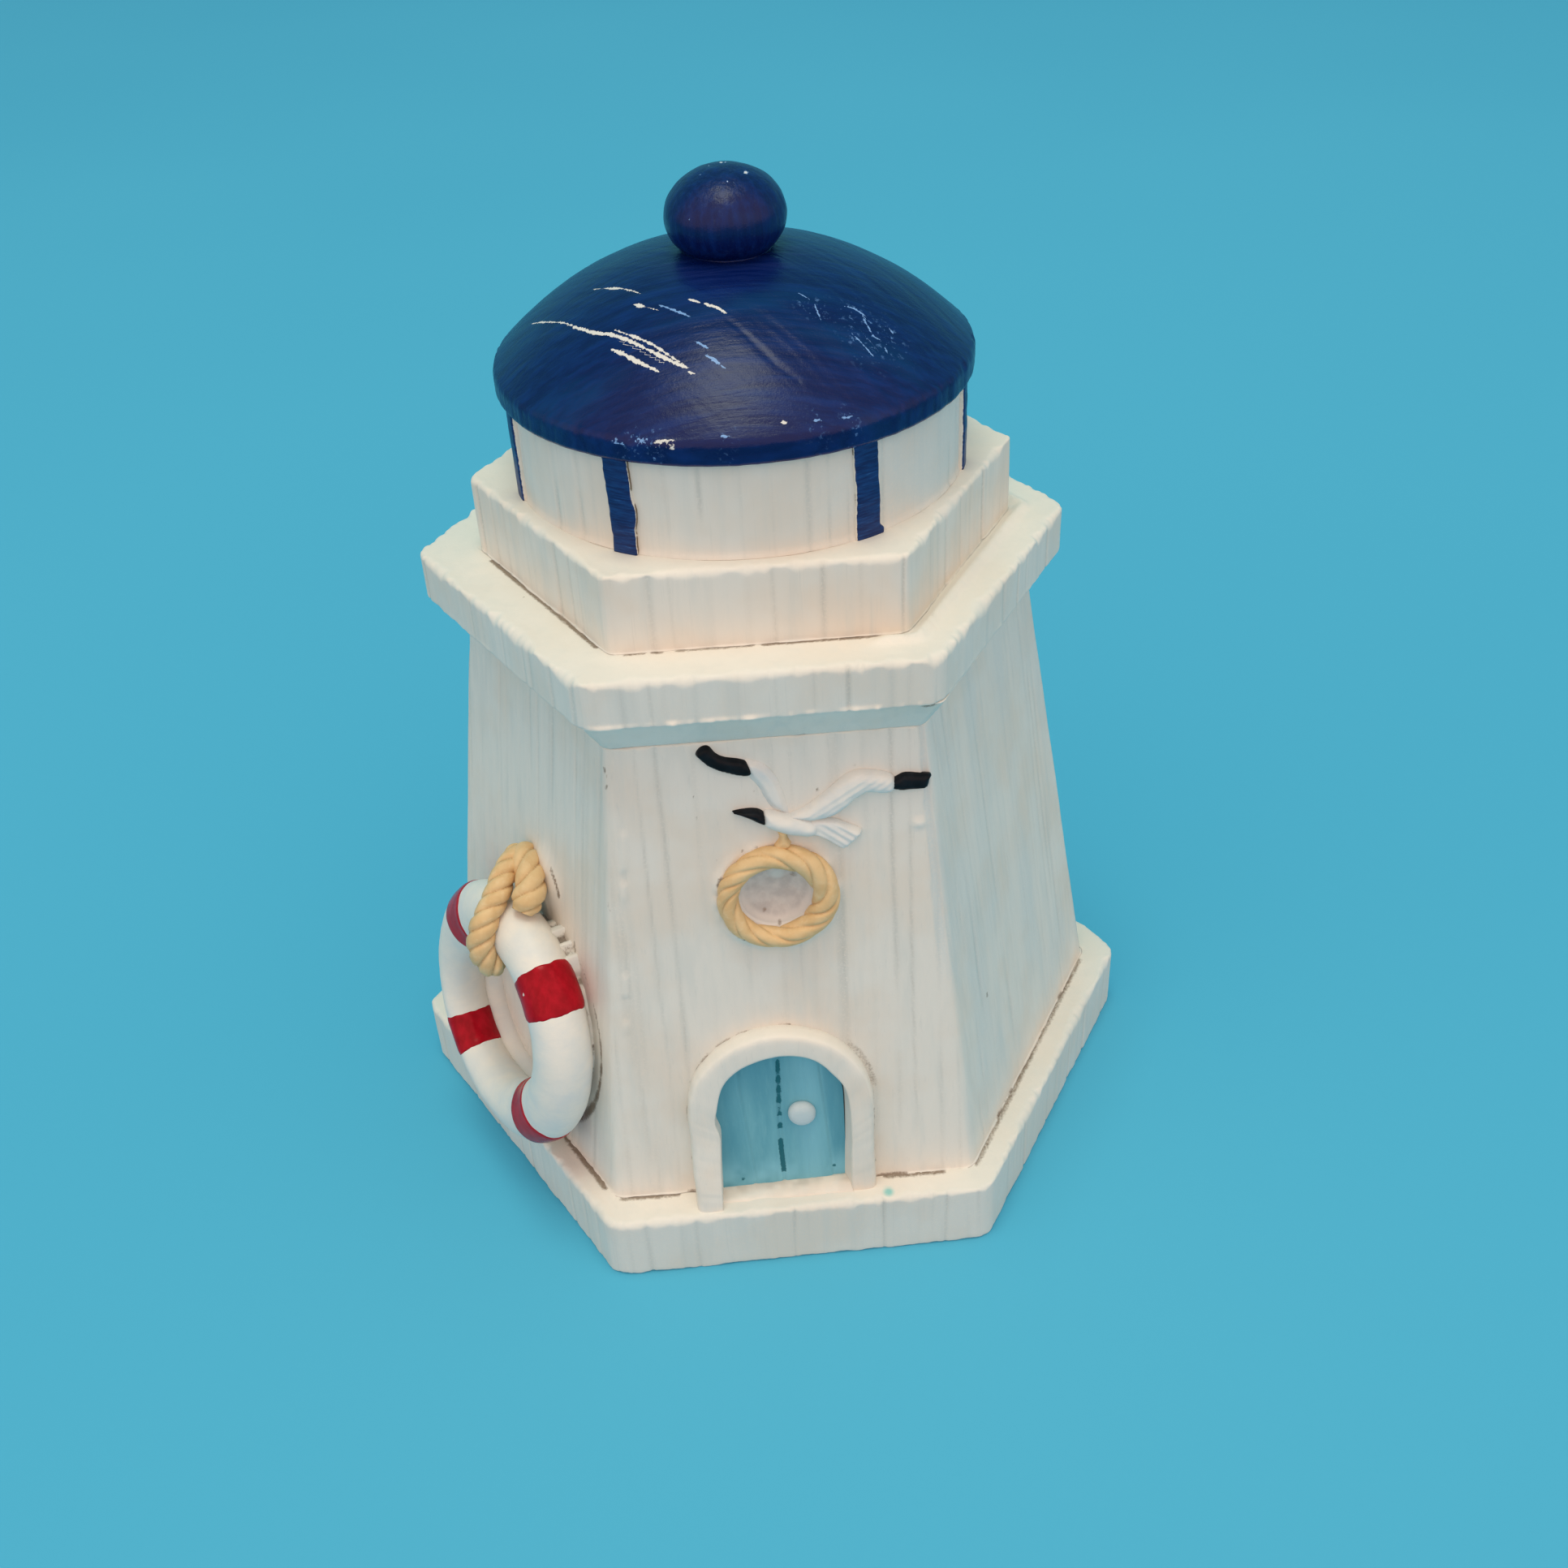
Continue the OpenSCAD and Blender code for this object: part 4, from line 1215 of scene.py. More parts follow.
def signed_distance(u, v, line):
    """Distance to a polyline, negative on its right, and how far along it is, from 0 to 1."""
    pts = np.array(line, float)
    best = np.full(np.shape(u), 1e9)
    sign = np.ones(np.shape(u))
    place = np.zeros(np.shape(u))
    spans = len(pts) - 1
    for i in range(spans):
        (ax, ay), (bx, by) = pts[i], pts[i + 1]
        dx, dy = bx - ax, by - ay
        t = np.clip(((u - ax) * dx + (v - ay) * dy) / (dx * dx + dy * dy + 1e-12), 0, 1)
        gap = np.hypot(u - ax - t * dx, v - ay - t * dy)
        nearer = gap < best
        best = np.where(nearer, gap, best)
        sign = np.where(nearer, np.sign(dx * (v - ay) - dy * (u - ax)), sign)
        place = np.where(nearer, (i + t) / spans, place)
    return best * sign, place


def scratch_marks(key, scratches, u, v):
    """Offset from the nearest scratch and its half width there, which is below 0 far away."""
    offset = np.full(np.shape(u), 9.0)
    reach = np.full(np.shape(u), -0.3)
    for width, line in scratches:
        path = rounded(line, 0.3, closed=False)
        gap, place = signed_distance(u, v, path)
        ends = np.minimum(
            np.hypot(u - path[0][0], v - path[0][1]), np.hypot(u - path[-1][0], v - path[-1][1]),
        )
        inner = np.where((place > 0.001) & (place < 0.999), 1.0, smooth(0.35 - ends, 0, 0.3))
        here = width * (0.8 + 0.55 * np.sin(np.pi * np.clip(place, 0.04, 0.96))) * inner
        here = here - 0.3 * (1 - inner) - 0.4 * smooth(np.abs(gap), 0.6, 1.2)
        closer = np.abs(gap) < np.abs(offset)
        offset = np.where(closer, gap, offset)
        reach = np.where(closer, here, reach)
    return {key + "_offset": np.clip(offset, -2, 2), key + "_reach": reach}


def dome_height(r):
    return ROOF_FOOT + RIM_H + DOME_RISE * (1 - (np.minimum(r, ROOF_R) / ROOF_R) ** DOME_POWER)


def build_dome():
    """Brushed roof with a ribbed, chipped rim and the scratches seen in the photo."""
    count = 720
    radii = list(ROOF_R * np.linspace(0, 1, 122) ** 0.85)[::-1]
    profile = [(DRUM_R - 2.0, ROOF_FOOT), (DRUM_R - 0.2, ROOF_FOOT), (ROOF_R - 0.35, ROOF_FOOT)]
    profile += [(ROOF_R - 0.1, ROOF_FOOT + 0.08), (ROOF_R, ROOF_FOOT + 0.25)]
    profile += [(ROOF_R + 0.02, ROOF_FOOT + 0.25 + 1.2 * k / 8) for k in range(1, 8)]
    profile += [(ROOF_R, ROOF_FOOT + RIM_H - 0.22)]
    profile += [(r, float(dome_height(r))) for r in radii if r < ROOF_R - 0.12 and r > 0.6]
    n = len(profile)
    rim_rows = np.array([2 < k < 14 for k in range(n)])[:, None]

    def wobble(r, z, turn):
        c, s = np.cos(turn), np.sin(turn)
        ribs = fbm(c * 26, s * 26, z * 0.25, 2, 51)
        r = r + np.where(rim_rows, 0.06 * ribs, 0.0)
        x, y = r * c, r * s
        stroke = fbm((x + y) * 0.9, (x - y) * 0.07, 0.0, 3, 53)
        dents = fbm(x / 5.5, y / 5.5, 1.7, 2, 54)
        ridge = distance_to_line(x, y, [(-0.4, -9.8), (0.95, -11.5), (2.4, -13.1), (3.7, -13.9)])
        push = 0.030 * stroke + 0.10 * dents - 0.05 * np.exp(-((ridge / 0.22) ** 2))
        z = z + np.where(rim_rows | (z < ROOF_FOOT + RIM_H - 0.3), 0.0, push)
        chips = np.clip(noise(c * 21, s * 21, 0.5, 55) - 0.35, 0, 1)
        near_rim = np.exp(-(((z - ROOF_FOOT - RIM_H) / 0.28) ** 2)) * (r > ROOF_R - 0.8)
        return r - 0.28 * chips * near_rim, z

    rings = lathe(profile, count, wobble)
    x, y = rings[..., 0], rings[..., 1]
    marks = {}
    for key, scratches in (
        ("long", LONG_SCRATCHES), ("short", SHORT_SCRATCHES), ("blue", BLUE_SCRATCHES),
    ):
        marks.update(scratch_marks(key, scratches, x, y))
    low = rings[..., 2] < ROOF_FOOT + 1.3
    for key in ("long", "short", "blue"):
        marks[key + "_reach"] = np.where(low, -0.5, marks[key + "_reach"])
    wear = np.zeros(x.shape)
    for px, py, size in RUBS:
        wear = np.maximum(wear, np.exp(-((np.hypot(x - px, y - py) / size) ** 2)))
    rust = np.exp(-(((np.hypot(x, y) - 4.6) / 1.3) ** 2)) * smooth(-y, -1, 2)
    add_piece(
        "dome_enamelled", rings.reshape(-1, 3), capped(n, count), MATERIALS["navy_roof"],
        ["dome_roof"], {**marks, "wear": wear, "rust": rust},
    )


# Sparkling nicks on the ball: across, up from its middle and half width, on its front
BALL_NICKS = [
    (-0.05, 3.0, 0.12), (0.25, 2.95, 0.05), (-1.55, 1.85, 0.08), (1.55, 1.75, 0.15),
    (1.75, 1.8, 0.05), (-2.5, -1.35, 0.06), (0.2, 0.9, 0.05), (0.65, 0.8, 0.05), (-0.9, 2.7, 0.04),
]


def build_ball():
    """Flattened, slightly lumpy ball that sinks a little into the roof."""
    count = 200
    mid = BALL_TOP - BALL_HALF_H
    low = math.asin(math.sqrt(1 - (SEAT_R / BALL_R) ** 2))
    angles = np.linspace(-low, math.pi / 2 * 0.995, 110)
    profile = [(SEAT_R + 0.35, mid - BALL_HALF_H * math.sin(low) - 0.25)]
    profile += [(SEAT_R + 0.12, mid - BALL_HALF_H * math.sin(low) - 0.02)]
    profile += [(BALL_R * math.cos(a), mid + BALL_HALF_H * math.sin(a)) for a in angles[1:]]

    def wobble(r, z, turn):
        x, y = r * np.cos(turn), r * np.sin(turn)
        lump = fbm(x / 3.2, y / 3.2, z / 3.2, 3, 61)
        push = 0.16 * lump + 0.02 * fbm(x / 0.7, y / 0.7, z / 2.5, 2, 62)
        return r * (1 + push / BALL_R), mid + (z - mid) * (1 + 0.5 * push / BALL_HALF_H)

    rings = lathe(profile, count, wobble)
    x, y, z = rings[..., 0], rings[..., 1], rings[..., 2]
    # height along the view from above the front, so that nicks keep their shape on the ball
    up = (z - mid) * 0.81 + y * 0.58
    nick = np.full(x.shape, -0.4)
    for px, py, size in BALL_NICKS:
        gap = np.hypot(x - px, (up - py) * 0.8)
        nick = np.maximum(nick, size - gap)
    nick = np.where(y < 1.5, nick, -0.4)
    add_piece(
        "ball_enamelled", rings.reshape(-1, 3), capped(len(profile), count),
        MATERIALS["navy_ball"], ["ball_finial"],
        {
            "blue_reach": nick, "long_reach": np.full(x.shape, -1.0), "short_reach": nick - 0.03,
            "wear": np.full(x.shape, 0.05),
        },
    )


# ---------------------------------------------------------------- door


# Front edge of the door's opening, up the left, over the arch and down the right
OPENING = [
    (-5.93, -0.5), (-5.8, 3.2), (-5.66, 6.2), (-5.95, 7.6), (-5.76, 8.97), (-5.15, 11.2),
    (-3.85, 12.65), (-1.75, 13.52), (0.5, 13.62), (2.25, 12.9), (3.53, 11.45), (4.37, 10.0),
    (4.68, 7.9), (4.70, 5.2), (4.62, 3.0), (4.55, -0.5),
]


def opening_gap(u, v):
    """How far points lie inside the door's opening, negative outside it."""
    away = distance_to_line(u, v, OPENING)
    return np.where(inside(u, v, OPENING), away, -away)


def surround_path(count):
    """Outer edge of the door's surround, evenly spaced."""
    turns = np.linspace(math.pi, 0, 80)
    line = [(DOOR_MID - SURROUND_HALF, -0.3)]
    for a in turns:
        line.append((DOOR_MID + SURROUND_HALF * math.cos(a), ARCH_SPRING + SURROUND_HALF * math.sin(a)))
    line.append((DOOR_MID + SURROUND_HALF, -0.3))
    return evenly(line, count)


def evenly(line, count):
    """The same line as count points spaced evenly along it."""
    pts = np.array(line, float)
    run = np.concatenate([[0], np.cumsum(np.linalg.norm(np.diff(pts, axis=0), axis=1))])
    at = np.linspace(0, run[-1], count)
    return np.column_stack([np.interp(at, run, pts[:, k]) for k in range(pts.shape[1])])


def surround_gap(u, v):
    """Distance from the outer edge of the door's surround."""
    return distance_to_line(u, v, surround_path(60))


def build_surround():
    """Hand-cut arch round the door: a rounded outer edge and a slanting reveal, with a painted
    highlight along the top of its arch.
    """
    rows = 260
    outer = surround_path(rows)
    front = evenly(rounded(OPENING, 0.2, closed=False), rows)
    share = np.linspace(0, 1, rows)
    reveal = 0.12 + 0.40 * smooth(share, 0.60, 0.80)
    to_outer = outer - front
    to_outer /= np.linalg.norm(to_outer, axis=1)[:, None]
    back = front - to_outer * reveal[:, None]
    # across the front face: fraction of the way in and share of the full height
    face = [
        (0.0, None), (0.0, 0.0), (0.0, 0.3), (0.012, 0.55), (0.035, 0.74), (0.08, 0.88),
        (0.15, 0.96), (0.25, 1.0), (0.4, 1.01), (0.6, 1.015), (0.8, 1.01), (0.93, 1.0),
    ]
    edge = [(0.0, 0.985), (0.06, 0.93), (0.3, 0.70), (0.6, 0.42), (0.9, 0.15), (1.0, 0.0), (1.0, None)]
    cols = len(face) + len(edge)
    tall = 1.5 + 0.8 * (1 - smooth(share, 0.0, 0.2)) - 0.15 * smooth(share, 0.85, 1.0)
    points, wash, pale = [], [], []
    for i in range(rows):
        far = i * 0.16
        wide = 0.11 * float(fbm(far / 1.6, 0.3, 0.0, 3, 71))
        lift = tall[i] * (1 + 0.04 * float(fbm(far / 1.6, 8.3, 0.0, 3, 73)))
        start = outer[i] + to_outer[i] * wide
        gate = float(smooth(noise(far / 2.0, 2.0, 0.0, 74), 0.2, 0.6))
        crown_highlight = float(smooth(share[i], 0.2, 0.32) * (1 - smooth(share[i], 0.7, 0.85)))
        for k, (f, h) in enumerate(face + edge):
            if k < len(face):
                uv = start + (front[i] - start) * f
            else:
                uv = front[i] + (back[i] - front[i]) * f
            points.append([uv[0], uv[1], -0.25 if h is None else h * lift])
            low = k < 3
            wash.append(0.3 * gate if low else 0.0)
            # Painted highlight on the rounded outer edge over the arch's crown
            pale.append(crown_highlight if 2 <= k < 6 else 0.0)
    faces = grid_faces(rows, cols, wrap=True)
    faces.append(list(range(cols)))
    faces.append([(rows - 1) * cols + j for j in range(cols - 1, -1, -1)])
    faces = [f[::-1] for f in faces]
    add_piece(
        "door_surround_casting", moved(points, FRONT), faces, MATERIALS["whitewash"],
        ["door_surround"], {"wash": wash, "edge": pale, "cool": np.full(len(points), 0.14)},
    )


LEAF_MID = -0.9
LEAF_HALF = 5.15
LEAF_SPRING = 8.6
LEAF_PROUD = 0.22


def build_door():
    """Plank leaf: grooves between planks, a dark middle seam and uneven teal."""
    rows, cols = 150, 150
    v = np.linspace(-0.15, LEAF_SPRING + LEAF_HALF - 0.04, rows)[:, None]
    s = np.linspace(-1, 1, cols)[None, :]
    rise = np.clip(v - LEAF_SPRING, 0, None)
    wide = np.sqrt(np.clip(LEAF_HALF**2 - rise**2, 0.02, None))
    u = LEAF_MID + wide * s
    v = v + 0 * u
    seam = np.interp(v, [1.3, 4.3, 6.0, 10.0, 12.3], [-0.83, -0.93, -0.90, -0.81, -0.74])
    first = np.interp(v, [1.3, 7.4, 9.7], [-3.2, -3.72, -3.95])
    last = np.interp(v, [0.7, 7.0, 11.4], [3.21, 2.83, 2.51])
    w = LEAF_PROUD + 0.02 * fbm(u / 0.5, v / 6, 1.0, 3, 81) + 0.05 * fbm(u / 2.5, v / 5, 2.0, 2, 82)
    cuts = [(seam, 0.15, 0.16), (first, 0.08, 0.14), (last, 0.10, 0.14), (0 * u + 1.35, 0.04, 0.1)]
    for line, deep, width in cuts:
        w = w - deep * np.exp(-(((u - line) / width) ** 2))
    w = w - 0.10 * smooth(u - last, 0.0, 0.3)
    upper = smooth(v, 6.8, 7.0) * (1 - smooth(v, 12.3, 12.6))
    blob = smooth(v, 5.6, 5.75) * (1 - smooth(v, 6.2, 6.35))
    lower = smooth(v, 1.1, 1.4) * (1 - smooth(v, 4.6, 4.8))
    patchy = 0.78 + 0.35 * noise(v / 0.5, 0.2, 0.0, 83)
    dash = np.maximum(np.maximum(upper * patchy, blob), lower)
    seam_mark = np.exp(-(((u - seam) / 0.26) ** 2)) * dash
    for spot, size in (((-4.15, 0.95), 0.26), ((3.25, 1.5), 0.22), ((-5.75, 5.4), 0.12)):
        gap = np.hypot(u - spot[0], v - spot[1])
        seam_mark = np.maximum(seam_mark, 0.75 * np.exp(-((gap / size) ** 2)))
    # Painted shade under the arch, on the left side and at the right edge, and a painted shadow round
    # the knob
    shade = np.maximum(smooth(v, 7.0, 12.5) * smooth(-u, -1.5, 3.5), smooth(u - last, 0.0, 0.25))
    shade = np.maximum(shade, 0.75 * smooth(-u, 2.6, 5.4))
    shade = np.maximum(shade, 0.45 * np.exp(-((np.hypot(u - KNOB[0], v - KNOB[1]) / 1.5) ** 2)))
    pale = np.exp(-(((v - 1.3) / 1.5) ** 2)) * smooth(fbm(u / 1.8, v / 2.4, 0, 3, 84), -0.5, 0.3)
    pale = np.maximum(pale, 0.9 * np.exp(-(((u - 1.6) / 1.2) ** 2)))
    front = np.stack([u, v, w], -1)
    back = np.stack([u, v, np.full(u.shape, -0.6)], -1)
    points = np.concatenate([front.reshape(-1, 3), back.reshape(-1, 3)])
    size = rows * cols
    faces = grid_faces(rows, cols, wrap=False)
    faces += [[q + size for q in f[::-1]] for f in grid_faces(rows, cols, wrap=False)]
    rim = [j for j in range(cols)] + [i * cols + cols - 1 for i in range(1, rows)]
    rim += [(rows - 1) * cols + j for j in range(cols - 2, -1, -1)]
    rim += [i * cols for i in range(rows - 2, 0, -1)]
    for a, b in zip(rim, rim[1:] + rim[:1]):
        faces.append([b, a, a + size, b + size])
    marks = {"seam": seam_mark, "shade": shade, "pale": pale}
    add_piece(
        "door_leaf_planks", moved(points, FRONT), faces, MATERIALS["teal"],
        ["door_leaf"], {key: np.concatenate([m.ravel(), np.zeros(size)]) for key, m in marks.items()},
    )


def build_knob():
    """Bead of white paint on the door."""
    profile = [(0.5, -0.2), (0.98, 0.1), (1.07, 0.22), (1.10, 0.36), (1.07, 0.52), (0.98, 0.68)]
    profile += [(0.84, 0.80), (0.66, 0.88), (0.45, 0.93), (0.2, 0.95), (0.04, 0.955)]

    def wobble(r, z, turn):
        push = 0.05 * fbm(np.cos(turn) * 1.2, np.sin(turn) * 1.2, z, 2, 91)
        return r * (1 + push), z

    rings = lathe(profile, 48, wobble)
    rings[..., 0] += KNOB[0]
    rings[..., 1] += KNOB[1]
    add_piece(
        "door_knob_bead", moved(rings.reshape(-1, 3), FRONT), capped(len(profile), 48),
        MATERIALS["knob"], ["door_knob"],
    )


def build_sill():
    """Threshold under the door, a little higher towards its right end, with painted shade on its back
    part and painted light on its front edge.
    """
    cols, rows = 110, 8
    x = np.linspace(-5.95, 4.6, cols)
    tilt = 0.035 * (x + 0.7)
    points, pale, sill_shade = [], [], []
    section = [
        (0.15, -0.2), (0.15, 0.42), (-0.25, 0.46), (-0.6, 0.42), (-1.0, 0.32), (-1.35, 0.14),
        (-1.55, -0.02), (-1.55, -0.2),
    ]
    for k, (y, z) in enumerate(section):
        lump = 0.07 * fbm(x / 1.3, k * 0.3, 0.0, 3, 93) if 0 < k < 7 else 0 * x
        bead = 0.14 * np.exp(-(((x - 0.3) / 0.4) ** 2)) if 3 < k < 6 else 0 * x
        level = PLINTH_TOP + z + lump + bead + (tilt if 0 < k < 5 else 0)
        points.append(np.column_stack([x, -APOTHEM + y + 0 * x, level]))
        # Painted light on the sill's front edge
        pale.append(np.full(cols, 0.7 if 4 < k < 7 else 0.0))
        # Painted shade, patchy, mostly on the back part under the door
        patchy = smooth(fbm(x / 1.4, k * 0.5, 2.0, 3, 94), -0.5, 0.4)
        sill_shade.append((0.62 if k < 4 else 0.2) * patchy * (k < 6))
    faces = grid_faces(rows, cols, wrap=False, close_rows=True)
    faces.append([k * cols for k in range(rows)])
    faces.append([k * cols + cols - 1 for k in range(rows - 1, -1, -1)])
    add_piece(
        "door_sill_casting", np.concatenate(points), faces, MATERIALS["whitewash"],
        ["door_sill"], {"edge": np.concatenate(pale), "smear": np.concatenate(sill_shade)},
    )


# ---------------------------------------------------------------- porthole and ropes


def rope_section(count, r, twist, relief, strands=3):
    """Radii and groove depths round one section of a laid rope."""
    t = np.linspace(0, 2 * np.pi, count, endpoint=False)
    lobe = np.abs(np.cos((t - twist) * strands / 2))
    groove = (1 - lobe) ** 2.2
    return t, r * (1 + relief * 0.35 - relief * 1.6 * groove), groove


def build_wreath():
    """Closed ring of laid rope round the porthole."""
    rings, sections, strands, turns = 440, 48, 4, 2.75
    points, grooves, flecks = [], [], []
    for i in range(rings):
        a = 2 * math.pi * i / rings
        c, s = math.cos(a), math.sin(a)
        size = WREATH_ROPE + 0.09 * c + 0.02 * s + 0.05 * float(noise(c * 2.1, s * 2.1, 0.0, 101))
        wander = 0.08 * float(noise(c * 1.6, s * 1.6, 4.0, 102))
        slip = 0.5 * float(noise(c * 1.3, s * 1.3, 8.0, 103))
        t, r, groove = rope_section(sections, size, -turns * a + slip, 0.16, strands)
        reach = WREATH_R + wander + r * np.cos(t)
        w = 0.38 + r * np.sin(t)
        place = [PORTHOLE[0] + reach * c, PORTHOLE[1] + reach * s * WREATH_OVAL, np.maximum(w, -0.12)]
        points.append(np.column_stack(place))
        grooves.append(groove * (0.75 + 0.25 * float(noise(c * 3, s * 3, 2.0, 104))))
        sides = smooth(0.35 - w, 0, 0.4)
        flecks.append(sides * float(smooth(noise(c * 2.4, s * 2.4, 6.0, 105), -0.2, 0.5)))
    add_piece(
        "rope_wreath_laid", moved(np.concatenate(points), FRONT),
        [f[::-1] for f in grid_faces(rings, sections, wrap=True, close_rows=True)],
        MATERIALS["rope"], ["rope_wreath"],
        {"groove": np.concatenate(grooves), "wash": np.concatenate(flecks)},
    )


def dish_facet(x, y):
    """How far a point is on the flat lump in the middle of the porthole's hollow."""
    return np.exp(-((np.hypot((x - 0.15) / 0.6, (y - 1.3) / 0.55)) ** 4))


def build_dish():
    """Shallow hollow of the porthole, with a lump and a wash in its middle, a painted highlight on the
    lump and painted light low on its rim.
    """
    profile = [(DISH_R - 0.02, -DISH_RECESS), (DISH_R + 0.05, -0.3), (DISH_R + 0.1, 0.06)]
    profile += [(DISH_R - 0.1, 0.10), (DISH_R - 0.3, 0.0)]
    for a in np.linspace(0.1, math.pi / 2 * 0.99, 34):
        profile.append(((DISH_R - 0.35) * math.cos(a), -DISH_DEPTH * math.sin(a)))

    def wobble(r, z, turn):
        x, y = r * np.cos(turn), r * np.sin(turn)
        lump = fbm(x / 1.6, y / 1.6, 0.0, 3, 95)
        swell = 0.14 * lump + 0.18 * dish_facet(x, y)
        return r, z + np.where(z < 0.0, swell, 0.0) * (r < DISH_R - 0.3)

    rings = lathe(profile, 130, wobble)
    x, y = rings[..., 0], rings[..., 1]
    wash = 0.75 * np.exp(-((np.hypot(x - 1.35, y - 1.15) / 0.45) ** 2))
    for px, py, size in (
        (-0.95, -1.85, 0.22), (0.1, -2.7, 0.2), (1.0, 2.15, 0.3), (0.4, 2.4, 0.3), (-2.5, 0.9, 0.2),
    ):
        wash = np.maximum(wash, 0.9 * np.exp(-((np.hypot(x - px, y - py) / size) ** 2)))
    # Painted light on the lower part of the rim
    ring = smooth(np.hypot(x, y), 2.1, 2.55)
    # Painted highlight on the lump
    facet_highlight = dish_facet(x, y)
    rings = rings * np.array([1.0, WREATH_OVAL, 1.0])
    rings = rings.reshape(-1, 3) + np.array([PORTHOLE[0], PORTHOLE[1], 0])
    add_piece(
        "porthole_hollow", moved(rings, FRONT), capped(len(profile), 130), MATERIALS["dish"],
        ["porthole_dish"],
        {"wash": wash, "rim": ring * smooth(-y, -1.5, 0.5), "facet_highlight": facet_highlight},
    )


def rope_strand(route, r, turns_per_mm, seed, taper=0.7):
    """Points, faces and groove marks of a laid rope along a smooth route."""
    line = rounded(route, 0.12, closed=False)
    along = np.gradient(line, axis=0)
    along /= np.linalg.norm(along, axis=1)[:, None]
    side = np.cross(along[0], [0.9, 0.2, 0.4])
    sections, rows = 40, len(line)
    run = np.concatenate([[0], np.cumsum(np.linalg.norm(np.diff(line, axis=0), axis=1))])
    points, grooves = [], []
    for i in range(rows):
        side = side - along[i] * (side @ along[i])
        side /= np.linalg.norm(side)
        up = np.cross(along[i], side)
        end = min(run[i], run[-1] - run[i])
        size = r * (taper + (1 - taper) * float(smooth(end, 0, 0.7)))
        size *= 1 + 0.05 * float(noise(run[i] / 1.2, seed, 0.0, seed))
        t, radius, groove = rope_section(sections, size, turns_per_mm * run[i], 0.17)
        spokes = np.cos(t)[:, None] * side + np.sin(t)[:, None] * up
        points.append(line[i] + radius[:, None] * spokes)
        grooves.append(groove)
    return np.concatenate(points), capped(rows, sections), np.concatenate(grooves)


def build_ring_rope():
    """The strand that goes over the tube into the hole, and the thicker one beside it."""
    strand = [
        (-0.9, 24.7, 0.7), (-0.1, 24.8, 1.5), (0.5, 24.2, 2.7), (1.4, 23.0, 3.9), (2.1, 21.4, 5.25),
        (2.3, 19.4, 5.75), (2.5, 17.8, 5.2), (2.6, 16.9, 4.3),
    ]
    knot = [
        (-0.7, 24.7, 0.6), (0.6, 24.9, 1.0), (1.9, 24.5, 1.3), (2.9, 23.8, 1.7), (3.4, 23.1, 2.3),
        (3.6, 22.4, 2.8),
    ]
    points, faces, grooves = rope_strand(strand, 1.02, 1.55, 7)
    more, more_faces, more_grooves = rope_strand(knot, 1.15, 1.45, 9)
    faces = faces + [[q + len(points) for q in f] for f in more_faces]
    add_piece(
        "ring_rope_laid", moved(np.concatenate([points, more]), LEFT), faces,
        MATERIALS["rope"], ["ring_rope"],
        {"groove": np.concatenate([grooves, more_grooves])},
    )


# ---------------------------------------------------------------- gull


# The whole gull sits this much lower than its outlines are drawn
GULL_DROP = 0.2
# Spacing of the points on a relief, and on the smallest ones
FLAT_STEP = 0.13
FINE_STEP = 0.09


def relief(name, node, outline, height, material, slot, step, drop=GULL_DROP):
    """A raised shape on a wall: the outline filled with triangles and lifted by height(u, v, edge)."""
    border = rounded(outline, step)
    low, high = border.min(0), border.max(0)
    gu, gv = np.meshgrid(np.arange(low[0], high[0], step), np.arange(low[1], high[1], step * 0.87))
    gu = gu + (np.arange(len(gu))[:, None] % 2) * step / 2
    gu, gv = gu.ravel(), gv.ravel()
    far = distance_to_line(gu, gv, border, closed=True)
    keep = inside(gu, gv, border) & (far > step * 0.55)
    flat = np.concatenate([border, np.column_stack([gu[keep], gv[keep]])])
    edges = [(i, (i + 1) % len(border)) for i in range(len(border))]
    made = geometry.delaunay_2d_cdt(
        [Vector(p) for p in flat], edges, [list(range(len(border)))], 1, 1e-6,
    )
    co = np.array([tuple(p) for p in made[0]])
    triangles = [list(f) for f in made[2]]
    edge = distance_to_line(co[:, 0], co[:, 1], border, closed=True)
    w = height(co[:, 0], co[:, 1], edge)
    count = len(co)
    outer = {}
    for f in triangles:
        for a, b in zip(f, f[1:] + f[:1]):
            outer[(a, b)] = outer.get((a, b), 0) + 1
    open_edges = [(a, b) for (a, b) in outer if (b, a) not in outer]
    top = np.column_stack([co, w])
    base = np.column_stack([co, np.full(count, -0.15)])
    faces = triangles + [[q + count for q in f[::-1]] for f in triangles]
    faces += [[b, a, a + count, b + count] for a, b in open_edges]
    points = np.concatenate([top, base]) - np.array([0, drop, 0])
    return add_piece(name, moved(points, FRONT), faces, material, [node])


def dome_profile(edge, width, tall):
    """Height of a pillow-like relief at a distance from its edge."""
    t = np.clip(edge / width, 0, 1)
    return tall * np.sqrt(np.clip(1 - (1 - t) ** 2, 0, 1))


